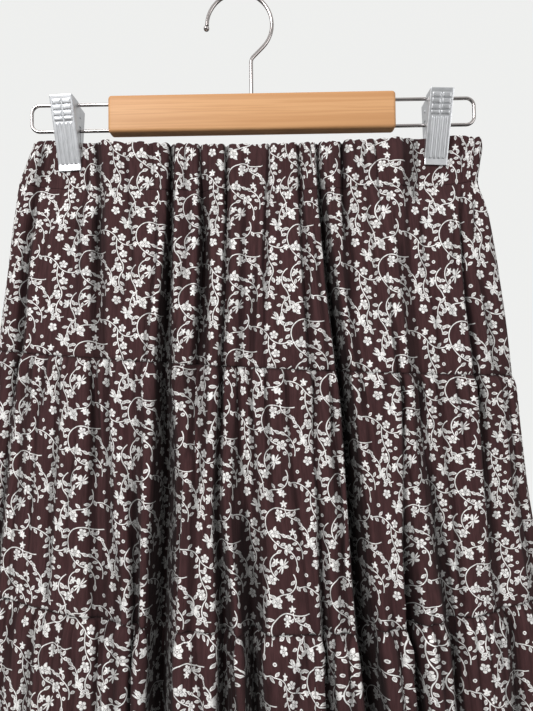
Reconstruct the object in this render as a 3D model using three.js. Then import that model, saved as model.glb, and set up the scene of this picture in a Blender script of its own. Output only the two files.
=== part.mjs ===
import * as THREE from 'three';

// A ruffle skirt of three gathered tiers, hanging by its waist from a wooden clip hanger.
// Millimetres, +Z up, the front of the skirt towards -Y.
// The origin is the inside of the hook's crown, where a peg or rail carries the hanger.
// Distances "across" are measured from the middle of the bar, positive to the right.

const HANGER_ACROSS = 8.4;

// Hanger
const BAR = { length: 211, thick: 12, high: 27.7, middle: -90, corner: 3, bore: 1.7 };
const WIRE = { radius: 1.25, outside: 165, upper: -80.85, lower: -100.55, bend: 6, inBar: 20 };
const HOOK = { radius: 1.4, bow: 24.2, bowAcross: -8.4, bowHeight: -22.8, bowFrom: -22, stemTop: -51 };
// The bend above the stem: how far across and up its two points lie
const HOOK_KNEE = [{ across: 1.6, up: 4.5 }, { across: 8.4, up: 13 }];
const BALL = { radius: 2.15, outward: 0.4, down: 0.6, rings: [30, 55, 90, 125, 155] };
const CLIP = { across: 136, width: 17, sheet: 1, backWidth: 14.4, backSheet: 0.8 };
const CLIP_JAW = { top: -80.5, flatFrom: -121, tip: -131, lean: -15.4, backLean: 14.2 };
const CLIP_RIBS = { count: 4, pitch: 4, top: -84, high: 0.45 };
const CLIP_FLUTES = { count: 4, top: -103, end: -127, high: 0.45, fade: 1.5 };
const PIVOT = { height: -90.7, radius: 2.6, length: 12.2, chamfer: 0.5, sides: 10 };
const CLIP_LEAN = THREE.MathUtils.degToRad(2.5);
const EAR_GAP = 0.7;
const EAR_CLEAR = 2.4;
const EAR_SHALLOW = 4;
const EAR_STEP = 0.1;
const THUMB_TURN = 2;
const ROD_SIDES = 8;
const BEND_STEPS = 4;
const BOW_STEPS = 16;

// Cloth
const WALL = 1.2;
const SEAM_GAP = 0.3;
const PINCHED = 1.6;
const PINCH_FLAT = 13;
const PINCH_END = 27;
const PINCH_LOW = -143;
const PINCH_GONE = -178;
const COLUMNS_PER_GATHER = 3;
const COLUMNS_PER_WAVE = 6;
const OUTLINE_POINTS = 480;

// Sections of the whole skirt: reach to the left and right, depth to the front and back,
// and squareness, which is 2 for an ellipse and more where the waist lies flatter.
const SECTIONS = [
  { z: -104, left: 157, right: 160, front: 9, back: 8.5, square: 3 },
  { z: -118, left: 162, right: 168, front: 9.5, back: 9, square: 3 },
  { z: -138, left: 169, right: 166, front: 10.5, back: 10, square: 2.8 },
  { z: -152, left: 173, right: 165, front: 12.5, back: 11.5, square: 2.6 },
  { z: -173, left: 176, right: 172, front: 15, back: 13, square: 2.4 },
  { z: -205, left: 179.5, right: 178, front: 22, back: 17, square: 2.2 },
  { z: -255, left: 186, right: 184.5, front: 29, back: 21, square: 2 },
  { z: -330, left: 194, right: 192, front: 37, back: 26, square: 1.9 },
  { z: -400, left: 202, right: 200, front: 43, back: 31, square: 1.9 },
  { z: -450, left: 209, right: 208, front: 47, back: 35, square: 1.9 },
  { z: -560, left: 223, right: 223, front: 55, back: 44, square: 1.9 },
  { z: -704, left: 238, right: 240, front: 64, back: 54, square: 1.9 },
];

// Heights of the edges and seams at the left side, in the middle and at the right side
const EDGES = {
  waist: { front: [-106, -116.2, -107.5], back: [-106, -114.5, -107.5] },
  casing: { front: [-142, -150.5, -143.5], back: [-142, -149, -143.5] },
  seam_1: { front: [-263, -277.5, -285], back: [-263, -276, -285] },
  seam_2: { front: [-428, -450, -438], back: [-428, -446, -438] },
  hem: { front: [-690, -704, -697], back: [-690, -700, -697] },
};
const WAIST_DROOP = 4.5;
const DROOP_FROM = 0.9;

// Main folds, each a valley that runs down the panel.  The columns hold one value at each of
// these heights: how far across it lies, how deep it is and half how wide.
const FOLD_LEVELS = [-112, -200, -278, -360, -445, -704];
const FRONT_FOLDS = [
  { across: [-152, -164, -170, -178, -185, -205], deep: [0, 3, 5, 5, 6, 9], wide: [4, 4, 5, 6, 6, 9] },
  { across: [-117, -111, -109, -104, -103, -110], deep: [4, 6, 4, 4, 5, 9], wide: [5, 6, 9, 12, 11, 14] },
  { across: [-90, -84, -82, -81, -79, -88], deep: [1, 1, 1, 2, 6, 12], wide: [4, 4, 5, 5, 5, 9] },
  { across: [-59, -60, -62, -61, -64, -68], deep: [4, 9, 13, 18, 20, 28], wide: [3, 3.5, 6, 8, 8, 12] },
  { across: [-38, -35, -38, -40, -43, -44], deep: [3, 8, 6, 2, 1, 2], wide: [3, 4, 5, 5, 5, 7] },
  { across: [-19, -18, -21, -24, -21, -20], deep: [3, 5, 6, 5, 10, 18], wide: [3, 3.5, 4, 4, 5, 9] },
  { across: [-4, -6, -8, -6, -2, 6], deep: [1, 2, 4, 8, 14, 22], wide: [4, 6, 11, 12, 7, 11] },
  { across: [12, 9, 8, 10, 15, 27], deep: [3, 4, 2, 1, 1, 2], wide: [3, 3, 4, 6, 8, 9] },
  { across: [33, 36, 40, 43, 46, 54], deep: [2, 3, 3, 3, 8, 14], wide: [3, 3, 4, 4, 4, 8] },
  { across: [47, 52, 60, 66, 71, 96], deep: [4, 13, 19, 21, 23, 30], wide: [2.5, 3.5, 4.5, 5.5, 6.5, 11] },
  { across: [65, 67, 74, 82, 87, 111], deep: [4, 3, 1, 0.5, 0.5, 1], wide: [3, 4, 5, 5, 5, 6] },
  { across: [88, 94, 100, 101, 103, 126], deep: [2, 2, 4, 3, 12, 20], wide: [4, 4, 3.5, 4, 5, 11] },
  { across: [112, 112, 118, 125, 131, 152], deep: [2, 5, 7, 7, 8, 12], wide: [8, 12, 16, 16, 8, 12] },
  { across: [152, 151, 157, 163, 168, 190], deep: [0.5, 5, 5, 3, 3, 8], wide: [3, 4, 5, 7, 8, 10] },
];
const BACK_FOLDS = [
  { across: [-152, -162, -168, -175, -183, -204], deep: [0, 2, 4, 5, 6, 9], wide: [4, 5, 6, 7, 8, 10] },
  { across: [-115, -118, -121, -124, -128, -142], deep: [3, 5, 6, 6, 7, 12], wide: [4, 5, 7, 8, 9, 12] },
  { across: [-86, -82, -80, -84, -88, -98], deep: [2, 6, 9, 10, 12, 18], wide: [3, 4, 5, 7, 8, 11] },
  { across: [-60, -56, -52, -50, -52, -58], deep: [3, 2, 3, 3, 6, 10], wide: [3, 4, 5, 5, 6, 9] },
  { across: [-33, -30, -26, -24, -20, -20], deep: [3, 6, 10, 14, 15, 22], wide: [3, 4, 5, 6, 8, 11] },
  { across: [-8, -4, 0, 4, 8, 16], deep: [2, 3, 3, 2, 5, 9], wide: [3, 4, 5, 5, 6, 9] },
  { across: [20, 24, 28, 32, 36, 46], deep: [3, 4, 5, 4, 5, 10], wide: [3, 4, 5, 6, 7, 10] },
  { across: [48, 50, 54, 60, 66, 80], deep: [2, 7, 11, 12, 15, 22], wide: [3, 4, 5, 7, 8, 11] },
  { across: [78, 82, 86, 90, 96, 112], deep: [3, 3, 2, 3, 5, 9], wide: [3, 4, 5, 6, 7, 10] },
  { across: [110, 112, 118, 124, 130, 146], deep: [3, 5, 6, 7, 8, 14], wide: [4, 6, 8, 9, 9, 12] },
  { across: [152, 156, 162, 168, 176, 198], deep: [0, 2, 4, 4, 5, 8], wide: [4, 5, 6, 7, 8, 10] },
];

// A fold's profile: a valley of half width 1, and beside it a lip of this share of its depth
const VALLEY_POWER = 2.2;
const LIP = 0.2;
const LIP_AT = 1.9;
const LIP_WIDE = 0.7;

// A gather's profile: the height of the lowest one beside the highest, and how round it is
const LOWEST_RIDGE = 0.62;
const RIDGE_POWER = 0.8;

// Folds and gathers fade out where the front and back come closer than this to each other, and
// gathers where the cloth turns round to the sides, from NO_GATHER to ALL_GATHER of facing forward
const FOLD_ROOM = 6;
const GATHER_ROOM = 5;
const NO_GATHER = 0.15;
const ALL_GATHER = 0.85;
const SIDE_ROUND = 0.25;
const FRONT_SEED = 10;
const BACK_SEED = 70;
const WAVE_SEED = 200;

// The cut pieces from the waist down.  A section is a share of the way down the piece, with the
// height of the gathers and of the broad waves, and how far the cloth puffs out below a seam.
const PIECES = [
  {
    name: 'waistband', top: 'waist', bottom: 'casing', gathers: 22,
    sections: [
      { down: 0, gather: 2, wave: 0.6, puff: 0 },
      { down: 0.34, gather: 2.8, wave: 0.8, puff: 0.8 },
      { down: 0.7, gather: 2.8, wave: 0.8, puff: 0.6 },
      { down: 1, gather: 2, wave: 0.6, puff: 0 },
    ],
  },
  {
    name: 'tier_1', top: 'casing', bottom: 'seam_1', gathers: 22,
    sections: [
      { down: 0, gather: 2, wave: 0.6, puff: 0 },
      { down: 0.1, gather: 3.2, wave: 1.4, puff: 0.8 },
      { down: 0.25, gather: 2.6, wave: 2, puff: 0.6 },
      { down: 0.45, gather: 1.6, wave: 2.2, puff: 0 },
      { down: 0.72, gather: 0.8, wave: 2, puff: 0 },
      { down: 1, gather: 0.5, wave: 1.4, puff: 0 },
    ],
  },
  {
    name: 'tier_2', top: 'seam_1', bottom: 'seam_2', gathers: 34,
    sections: [
      { down: 0, gather: 1.6, wave: 0.6, puff: 0 },
      { down: 0.05, gather: 3.2, wave: 1.2, puff: 1.6 },
      { down: 0.2, gather: 2.6, wave: 2.4, puff: 1.4 },
      { down: 0.5, gather: 1.2, wave: 3.2, puff: 0.4 },
      { down: 1, gather: 0.6, wave: 2.4, puff: 0 },
    ],
  },
  {
    name: 'tier_3', top: 'seam_2', bottom: 'hem', gathers: 38,
    sections: [
      { down: 0, gather: 1.6, wave: 0.8, puff: 0 },
      { down: 0.045, gather: 3.4, wave: 1.6, puff: 2 },
      { down: 0.2, gather: 2.8, wave: 3.4, puff: 1.8 },
      { down: 0.56, gather: 1.2, wave: 5, puff: 0.4 },
      { down: 1, gather: 0.6, wave: 7, puff: 0 },
    ],
  },
];

const CLOTH = new THREE.MeshStandardMaterial({ color: 0x44302f, roughness: 0.85, metalness: 0 });
const WOOD = new THREE.MeshStandardMaterial({ color: 0xd9a671, roughness: 0.5, metalness: 0 });
const CHROME = new THREE.MeshStandardMaterial({ color: 0xbcb8b6, roughness: 0.2, metalness: 1 });
const ZINC = new THREE.MeshStandardMaterial({ color: 0xc8ccd0, roughness: 0.3, metalness: 1 });

// Small functions

const mix = (a, b, share) => a + (b - a) * share;

const clamp = (value) => Math.min(1, Math.max(0, value));

function ease(from, to, value) {
  const share = clamp((value - from) / (to - from));
  return share * share * (3 - 2 * share);
}

// A fixed, scattered number from 0 to 1 for a fold's own height
function uneven(number) {
  const scattered = Math.sin(number * 12.9898 + 4.137) * 43758.5453;
  return scattered - Math.floor(scattered);
}

// A smooth curve through values given at descending heights
function along(heights, values, z) {
  const last = heights.length - 1;
  if (z >= heights[0]) return values[0];
  if (z <= heights[last]) return values[last];
  const i = heights.findIndex((height, k) => z > heights[k + 1] && z <= height);
  const span = heights[i + 1] - heights[i];
  const slope = (k) => {
    const before = Math.max(k - 1, 0);
    const after = Math.min(k + 1, last);
    return (values[after] - values[before]) / (heights[after] - heights[before]);
  };
  const f = (z - heights[i]) / span;
  const blend = f * f * (3 - 2 * f);
  const leave = f * (1 - f) * (1 - f) * span * slope(i);
  const arrive = f * f * (1 - f) * span * slope(i + 1);
  return mix(values[i], values[i + 1], blend) + leave - arrive;
}

// A size of the whole skirt's section at one height
function sectionSize(key, z) {
  const heights = SECTIONS.map((section) => section.z);
  return along(heights, SECTIONS.map((section) => section[key]), z);
}

// The height of an edge at a place across, given as a share of the half width
function edgeHeight(edge, side, across) {
  const [left, middle, right] = EDGES[edge][side];
  const tilt = (right - left) / 2;
  const bow = (left + right) / 2 - middle;
  const droop = edge === 'waist' ? WAIST_DROOP * ease(DROOP_FROM, 1, Math.abs(across)) : 0;
  return middle + tilt * across + bow * across * across - droop;
}

// How flat the clips hold the waist: 1 between the jaws, 0 away from them
function pinch(across, z) {
  const beside = Math.abs(Math.abs(across) - CLIP.across);
  return (1 - ease(PINCH_FLAT, PINCH_END, beside)) * (1 - ease(-PINCH_LOW, -PINCH_GONE, -z));
}

function foldProfile(offset) {
  const far = Math.abs(offset);
  return Math.exp(-(far ** VALLEY_POWER)) - LIP * Math.exp(-(((far - LIP_AT) / LIP_WIDE) ** 2));
}

// Plan outline of one half of the skirt at one height, from the left side seam to the right one,
// with its main folds pushed in along the outline's own normals
function outline(side, z) {
  const towards = side === 'front' ? -1 : 1;
  const folds = side === 'front' ? FRONT_FOLDS : BACK_FOLDS;
  const at = (key) => sectionSize(key, z);
  const power = 2 / at('square');
  const depth = at(side);
  const plain = [];
  for (let i = 0; i <= OUTLINE_POINTS; i += 1) {
    const angle = Math.PI * (1 - i / OUTLINE_POINTS);
    const reach = Math.cos(angle) < 0 ? -at('left') : at('right');
    const x = reach * Math.abs(Math.cos(angle)) ** power;
    const held = pinch(x, z);
    const flat = held * ease(0, SIDE_ROUND, Math.sin(angle));
    const y = mix(depth * Math.sin(angle) ** power, PINCHED, flat);
    plain.push({ x, y: towards * (y + SEAM_GAP / 2), held });
  }
  const valleys = folds.map((fold) => ({
    across: along(FOLD_LEVELS, fold.across, z),
    deep: Math.max(0, along(FOLD_LEVELS, fold.deep, z)),
    wide: along(FOLD_LEVELS, fold.wide, z),
  }));
  const points = plain.map((point, i) => {
    const normal = planNormal(plain, i, towards);
    const pushed = valleys.reduce(
      (sum, valley) => sum + valley.deep * foldProfile((point.x - valley.across) / valley.wide), 0,
    );
    const inward = pushed * (1 - point.held) * ease(0, FOLD_ROOM, Math.abs(point.y));
    return { x: point.x - normal.x * inward, y: point.y - normal.y * inward, held: point.held };
  });
  return { points, marks: valleys.map((valley) => plain.findIndex((point) => point.x >= valley.across)) };
}

// Outward normal in plan of point i of a row, which is square to the sides at both ends
function planNormal(row, i, towards) {
  if (i === 0) return { x: -1, y: 0 };
  if (i === row.length - 1) return { x: 1, y: 0 };
  const dx = row[i + 1].x - row[i - 1].x;
  const dy = row[i + 1].y - row[i - 1].y;
  const length = Math.hypot(dx, dy) || 1;
  return { x: (-towards * dy) / length, y: (towards * dx) / length };
}

function arcLengths(points) {
  const lengths = [0];
  for (let i = 1; i < points.length; i += 1) {
    lengths.push(lengths[i - 1] + Math.hypot(points[i].x - points[i - 1].x, points[i].y - points[i - 1].y));
  }
  return lengths;
}

// The column that each main fold keeps all the way down a piece
function foldColumns(side, z, columns) {
  const { points, marks } = outline(side, z);
  const lengths = arcLengths(points);
  const whole = lengths[lengths.length - 1];
  return marks.map((mark) => Math.round((columns * lengths[mark]) / whole));
}

// A row of evenly spread columns, with every main fold on its own column
function spread(side, z, columns, foldAt) {
  const { points, marks } = outline(side, z);
  const lengths = arcLengths(points);
  const knots = [0, ...foldAt, columns];
  const places = [0, ...marks.map((mark) => lengths[mark]), lengths[lengths.length - 1]];
  const row = [];
  let near = 0;
  for (let column = 0; column <= columns; column += 1) {
    const found = knots.findIndex((knot, k) => column < knots[k + 1]);
    const from = found < 0 ? knots.length - 2 : found;
    const share = (column - knots[from]) / (knots[from + 1] - knots[from]);
    const place = mix(places[from], places[from + 1], share);
    while (near < lengths.length - 2 && lengths[near + 1] < place) near += 1;
    const f = clamp((place - lengths[near]) / (lengths[near + 1] - lengths[near]));
    row.push({
      x: mix(points[near].x, points[near + 1].x, f),
      y: mix(points[near].y, points[near + 1].y, f),
      held: mix(points[near].held, points[near + 1].held, f),
    });
  }
  return row;
}

// Rounded ridges with narrow valleys between them, each of its own height
function ridges(place, seed) {
  const number = Math.floor(place);
  const height = mix(LOWEST_RIDGE, 1, uneven(number + seed));
  return height * Math.sin(Math.PI * (place - number)) ** RIDGE_POWER - 0.5;
}

// One half of a cut piece as rows of points down its middle surface
function pieceRows(piece, side) {
  const columns = piece.gathers * COLUMNS_PER_GATHER;
  const towards = side === 'front' ? -1 : 1;
  const seed = side === 'front' ? FRONT_SEED : BACK_SEED;
  const [topMiddle, bottomMiddle] = [EDGES[piece.top][side][1], EDGES[piece.bottom][side][1]];
  const foldAt = foldColumns(side, mix(topMiddle, bottomMiddle, 0.5), columns);
  return piece.sections.map(({ down, gather, wave, puff }) => {
    const level = mix(topMiddle, bottomMiddle, down);
    const flat = spread(side, level, columns, foldAt);
    const half = (sectionSize('left', level) + sectionSize('right', level)) / 2;
    const row = flat.map((point, column) => {
      const normal = planNormal(flat, column, towards);
      const facing = ease(NO_GATHER, ALL_GATHER, Math.abs(normal.y));
      const free = facing * (1 - point.held) * ease(0, GATHER_ROOM, Math.abs(point.y));
      const gathered = gather * ridges(column / COLUMNS_PER_GATHER, seed);
      const waved = wave * ridges(column / COLUMNS_PER_WAVE + 0.5, seed + WAVE_SEED);
      const out = free * (gathered + waved + puff);
      return { x: point.x + normal.x * out, y: point.y + normal.y * out, share: point.x / half };
    });
    return row.map(({ x, y, share }) => {
      const top = edgeHeight(piece.top, side, share) - (piece.top === 'waist' ? 0 : SEAM_GAP / 2);
      const bottom = edgeHeight(piece.bottom, side, share) + (piece.bottom === 'hem' ? 0 : SEAM_GAP / 2);
      return { x, y, z: mix(top, bottom, down) };
    });
  });
}

// A closed sheet through rows of points, with half its thickness to each side
function sheet(rows, thickness, towards) {
  const columns = rows[0].length;
  const positions = [];
  [1, -1].forEach((face) => {
    rows.forEach((row) => {
      row.forEach((point, i) => {
        const normal = planNormal(row, i, towards);
        const out = (face * thickness) / 2;
        positions.push(point.x + normal.x * out, point.y + normal.y * out, point.z);
      });
    });
  });
  const inner = rows.length * columns;
  const triangles = [];
  const quad = (a, b, c, d) => triangles.push(a, b, c, a, c, d);
  for (let r = 0; r < rows.length - 1; r += 1) {
    for (let c = 0; c < columns - 1; c += 1) {
      const at = r * columns + c;
      const below = at + columns;
      quad(at, below, below + 1, at + 1);
      quad(inner + at, inner + at + 1, inner + below + 1, inner + below);
    }
    const first = r * columns;
    const end = first + columns - 1;
    quad(first, inner + first, inner + first + columns, first + columns);
    quad(end, end + columns, inner + end + columns, inner + end);
  }
  const bottom = (rows.length - 1) * columns;
  for (let c = 0; c < columns - 1; c += 1) {
    quad(c, c + 1, inner + c + 1, inner + c);
    quad(bottom + c, inner + bottom + c, inner + bottom + c + 1, bottom + c + 1);
  }
  if (towards > 0) triangles.reverse();
  return solid(positions, triangles);
}

function solid(positions, triangles) {
  const geometry = new THREE.BufferGeometry();
  geometry.setAttribute('position', new THREE.Float32BufferAttribute(positions, 3));
  geometry.setIndex(triangles);
  geometry.computeVertexNormals();
  return geometry;
}

// A round rod along points in the XZ plane, with its own radius at each point
function rod(stations) {
  const sides = ROD_SIDES;
  const positions = [];
  const triangles = [];
  const last = stations.length - 1;
  stations.forEach(({ x, z, radius }, i) => {
    const before = stations[Math.max(i - 1, 0)];
    const after = stations[Math.min(i + 1, last)];
    const heading = new THREE.Vector2(after.x - before.x, after.z - before.z).normalize();
    for (let k = 0; k < sides; k += 1) {
      const angle = (2 * Math.PI * (k + 0.5)) / sides;
      const out = radius * Math.cos(angle);
      positions.push(x - heading.y * out, radius * Math.sin(angle), z + heading.x * out);
    }
  });
  for (let i = 0; i < last; i += 1) {
    for (let k = 0; k < sides; k += 1) {
      const a = i * sides + k;
      const b = i * sides + ((k + 1) % sides);
      triangles.push(a, b + sides, b, a, a + sides, b + sides);
    }
  }
  for (let k = 1; k < sides - 1; k += 1) {
    triangles.push(0, k, k + 1);
    triangles.push(last * sides, last * sides + k + 1, last * sides + k);
  }
  return solid(positions, triangles);
}

// Stations along an arc in the XZ plane
function arc(centreX, centreZ, radius, fromDegrees, toDegrees, steps, rodRadius) {
  return Array.from({ length: steps + 1 }, (_, i) => {
    const angle = THREE.MathUtils.degToRad(mix(fromDegrees, toDegrees, i / steps));
    return {
      x: centreX + radius * Math.cos(angle),
      z: centreZ + radius * Math.sin(angle),
      radius: rodRadius,
    };
  });
}

// Hanger pieces

function bar() {
  const [half, high, corner] = [BAR.thick / 2, BAR.high / 2, BAR.corner];
  const shape = new THREE.Shape();
  shape.moveTo(-half + corner, -high);
  shape.lineTo(half - corner, -high);
  shape.absarc(half - corner, -high + corner, corner, -Math.PI / 2, 0);
  shape.lineTo(half, high - corner);
  shape.absarc(half - corner, high - corner, corner, 0, Math.PI / 2);
  shape.lineTo(-half + corner, high);
  shape.absarc(-half + corner, high - corner, corner, Math.PI / 2, Math.PI);
  shape.lineTo(-half, -high + corner);
  shape.absarc(-half + corner, -high + corner, corner, Math.PI, 1.5 * Math.PI);
  [WIRE.upper, WIRE.lower].forEach((height) => {
    const bore = new THREE.Path();
    bore.absarc(0, height - BAR.middle, BAR.bore, 0, 2 * Math.PI, true);
    shape.holes.push(bore);
  });
  const settings = { depth: BAR.length, bevelEnabled: false, curveSegments: 4 };
  const geometry = new THREE.ExtrudeGeometry(shape, settings);
  const lieAcross = new THREE.Matrix4().makeBasis(
    new THREE.Vector3(0, 1, 0), new THREE.Vector3(0, 0, 1), new THREE.Vector3(1, 0, 0),
  );
  geometry.applyMatrix4(lieAcross);
  geometry.translate(-BAR.length / 2, 0, BAR.middle);
  return geometry;
}

// One bent wire: out of the bar, round two corners and back into the bar
function wireLoop(towards) {
  const start = BAR.length / 2 - WIRE.inBar;
  const turn = WIRE.outside - WIRE.radius - WIRE.bend;
  const at = (x, z) => ({ x, z, radius: WIRE.radius });
  const stations = [
    at(start, WIRE.upper),
    ...arc(turn, WIRE.upper - WIRE.bend, WIRE.bend, 90, 0, BEND_STEPS, WIRE.radius),
    ...arc(turn, WIRE.lower + WIRE.bend, WIRE.bend, 0, -90, BEND_STEPS, WIRE.radius),
    at(start, WIRE.lower),
  ];
  const placed = stations.map((station) => ({ ...station, x: station.x * towards }));
  return rod(towards > 0 ? placed : placed.reverse());
}

// The hook: a stem out of the bar, a bend to the right and the bow over the crown to its ball
function hook() {
  const stemFoot = BAR.middle + BAR.high / 2 + SEAM_GAP;
  const { bowAcross, bowHeight, bowFrom, stemTop, radius } = HOOK;
  const bow = arc(bowAcross, bowHeight, HOOK.bow, bowFrom, 180, BOW_STEPS, radius);
  const stem = [
    { x: 0, z: stemFoot, radius },
    { x: 0, z: stemTop, radius },
    ...HOOK_KNEE.map(({ across, up }) => ({ x: across, z: stemTop + up, radius })),
  ];
  const end = bow[bow.length - 1];
  const ball = BALL.rings.map((degrees) => {
    const angle = THREE.MathUtils.degToRad(degrees);
    const fall = BALL.radius * (1 - Math.cos(angle));
    return { x: end.x - BALL.outward, z: end.z - BALL.down - fall, radius: BALL.radius * Math.sin(angle) };
  });
  return rod([...stem, ...bow, ...ball]);
}

const leverLine = (lean, flat) => (z) => mix(
  lean, flat, clamp((z - CLIP_JAW.top) / (CLIP_JAW.flatFrom - CLIP_JAW.top)),
);

// The front lever of a clip: pressed sheet with ears that stand between the two wires, four
// grip ribs in two columns above and four flutes below
function frontLever() {
  const jaw = PINCHED + SEAM_GAP / 2 + WALL / 2 + SEAM_GAP;
  const plate = leverLine(CLIP_JAW.lean, -jaw - CLIP.sheet / 2);
  const ear = PIVOT.radius;
  const [above, below] = [WIRE.upper - WIRE.radius, WIRE.lower + WIRE.radius];
  const ribRows = Array.from({ length: CLIP_RIBS.count * 2 }, (_, i) => ({
    z: CLIP_RIBS.top - (i * CLIP_RIBS.pitch) / 2,
    ear,
    rib: i % 2 ? 0 : CLIP_RIBS.high,
    flute: 0,
  }));
  const levels = [
    { z: CLIP_JAW.top, ear: CLIP_JAW.lean + THUMB_TURN, rib: 0, flute: 0 },
    { z: above - EAR_GAP + EAR_STEP, ear: -EAR_CLEAR, rib: 0, flute: 0 },
    { z: above - EAR_GAP, ear, rib: 0, flute: 0 },
    ...ribRows,
    { z: below + EAR_GAP, ear, rib: 0, flute: 0 },
    { z: below + EAR_GAP - EAR_STEP, ear: -EAR_SHALLOW, rib: 0, flute: 0 },
    { z: CLIP_FLUTES.top, ear: -EAR_SHALLOW, rib: 0, flute: CLIP_FLUTES.high },
    { z: CLIP_FLUTES.end, ear: -jaw, rib: 0, flute: CLIP_FLUTES.high },
    { z: CLIP_FLUTES.end - CLIP_FLUTES.fade, ear: -jaw, rib: 0, flute: 0 },
    { z: CLIP_JAW.tip, ear: -jaw, rib: 0, flute: 0 },
  ];
  const half = (CLIP.width - CLIP.sheet) / 2;
  const columns = CLIP_FLUTES.count * 2;
  const rows = levels.map(({ z, ear: back, rib, flute }) => {
    const y = plate(z);
    const face = Array.from({ length: columns + 1 }, (_, i) => {
      const edge = i === 0 || i === columns;
      const divider = i === columns / 2 && z > WIRE.lower ? CLIP_RIBS.high : rib;
      const raised = divider + (i % 2 ? flute : 0);
      return { x: mix(-half, half, i / columns), y: y - (edge ? 0 : raised), z };
    });
    return [{ x: -half, y: back, z }, ...face, { x: half, y: back, z }];
  });
  return sheet(rows, CLIP.sheet, -1);
}

// The back lever: a plain channel whose ears fit inside those of the front one
function backLever() {
  const jaw = PINCHED + SEAM_GAP / 2 + WALL / 2 + SEAM_GAP;
  const plate = leverLine(CLIP_JAW.backLean, jaw + CLIP.backSheet / 2);
  const ear = -PIVOT.radius;
  const [above, below] = [WIRE.upper - WIRE.radius, WIRE.lower + WIRE.radius];
  const levels = [
    { z: CLIP_JAW.top, ear: CLIP_JAW.backLean - THUMB_TURN },
    { z: above - EAR_GAP + EAR_STEP, ear: EAR_CLEAR },
    { z: above - EAR_GAP, ear },
    { z: below + EAR_GAP, ear },
    { z: below + EAR_GAP - EAR_STEP, ear: EAR_SHALLOW },
    { z: CLIP_JAW.flatFrom, ear: jaw },
    { z: CLIP_JAW.tip, ear: jaw },
  ];
  const half = (CLIP.backWidth - CLIP.backSheet) / 2;
  const rows = levels.map(({ z, ear: front }) => {
    const y = plate(z);
    const face = [-half, 0, half].map((x) => ({ x, y, z }));
    return [{ x: -half, y: front, z }, ...face, { x: half, y: front, z }];
  });
  return sheet(rows, CLIP.backSheet, 1);
}

// The spring barrel on the clip's pivot, between the back lever's ears
function pivot() {
  const { radius, chamfer } = PIVOT;
  const half = PIVOT.length / 2;
  const profile = [
    [0, -half], [radius - chamfer, -half], [radius, -half + chamfer],
    [radius, half - chamfer], [radius - chamfer, half], [0, half],
  ].map(([x, y]) => new THREE.Vector2(x, y));
  const geometry = new THREE.LatheGeometry(profile, PIVOT.sides);
  geometry.rotateZ(Math.PI / 2);
  return geometry;
}

// Scene

const skirtOnHanger = new THREE.Group();
skirtOnHanger.position.x = HANGER_ACROSS;

function add(name, geometry, material, group = skirtOnHanger) {
  const mesh = new THREE.Mesh(geometry, material.clone());
  mesh.name = name;
  group.add(mesh);
}

// A clip turns a little about its pivot, so that its jaws lean towards the middle
function addClip(name, towards) {
  const clip = new THREE.Group();
  clip.position.set(towards * CLIP.across, 0, PIVOT.height);
  clip.rotation.y = towards * CLIP_LEAN;
  const lever = (geometry) => geometry.translate(0, 0, -PIVOT.height);
  add(`clip_${name}_front`, lever(frontLever()), ZINC, clip);
  add(`clip_${name}_back`, lever(backLever()), ZINC, clip);
  add(`clip_${name}_pivot`, pivot(), ZINC, clip);
  skirtOnHanger.add(clip);
}

PIECES.forEach((piece) => {
  ['front', 'back'].forEach((side) => {
    const towards = side === 'front' ? -1 : 1;
    add(`${piece.name}_${side}`, sheet(pieceRows(piece, side), WALL, towards), CLOTH);
  });
});

add('hanger_bar', bar(), WOOD);
add('hanger_hook', hook(), CHROME);
[['left', -1], ['right', 1]].forEach(([name, towards]) => {
  add(`wire_loop_${name}`, wireLoop(towards), CHROME);
  addClip(name, towards);
});

export default skirtOnHanger;
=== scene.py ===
"""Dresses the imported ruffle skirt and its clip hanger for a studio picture.

Metres, +Z up, the skirt's front towards -Y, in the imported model's own frame.
Distances "across" are measured from the middle of the bar, positive to the right.
"""

import math

import bpy
import numpy as np
from mathutils import Matrix, Vector


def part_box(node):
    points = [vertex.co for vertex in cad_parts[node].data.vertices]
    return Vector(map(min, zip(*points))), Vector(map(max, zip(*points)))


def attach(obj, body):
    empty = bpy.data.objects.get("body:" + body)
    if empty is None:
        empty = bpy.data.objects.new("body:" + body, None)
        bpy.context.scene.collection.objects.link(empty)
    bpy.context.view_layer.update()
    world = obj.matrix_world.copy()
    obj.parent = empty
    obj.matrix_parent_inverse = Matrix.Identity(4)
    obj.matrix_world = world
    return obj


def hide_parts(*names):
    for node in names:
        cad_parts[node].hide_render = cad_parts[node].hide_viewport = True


bl_info = {
    "name": "Tiered Skirt on a Clip Hanger",
    "version": (1, 0, 0),
    "blender": (4, 5, 0),
    "location": "View3D > Sidebar > Skirt",
    "description": "Gathered printed tiers, a wooden clip hanger and a pale studio",
    "category": "Object",
}

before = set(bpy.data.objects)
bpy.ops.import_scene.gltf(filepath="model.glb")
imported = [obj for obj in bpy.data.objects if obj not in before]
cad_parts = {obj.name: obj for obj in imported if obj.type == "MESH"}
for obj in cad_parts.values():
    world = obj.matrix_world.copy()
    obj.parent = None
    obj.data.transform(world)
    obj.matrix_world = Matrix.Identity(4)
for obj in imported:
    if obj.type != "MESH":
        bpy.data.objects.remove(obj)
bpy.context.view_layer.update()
BODY = "root"
SIDEWAYS = (0.0, math.pi / 2, 0.0)

# The hanger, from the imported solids
BAR_LOW, BAR_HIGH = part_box("hanger_bar")
BAR_MIDDLE = (BAR_LOW + BAR_HIGH) / 2
HANGER_ACROSS = BAR_MIDDLE.x

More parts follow.
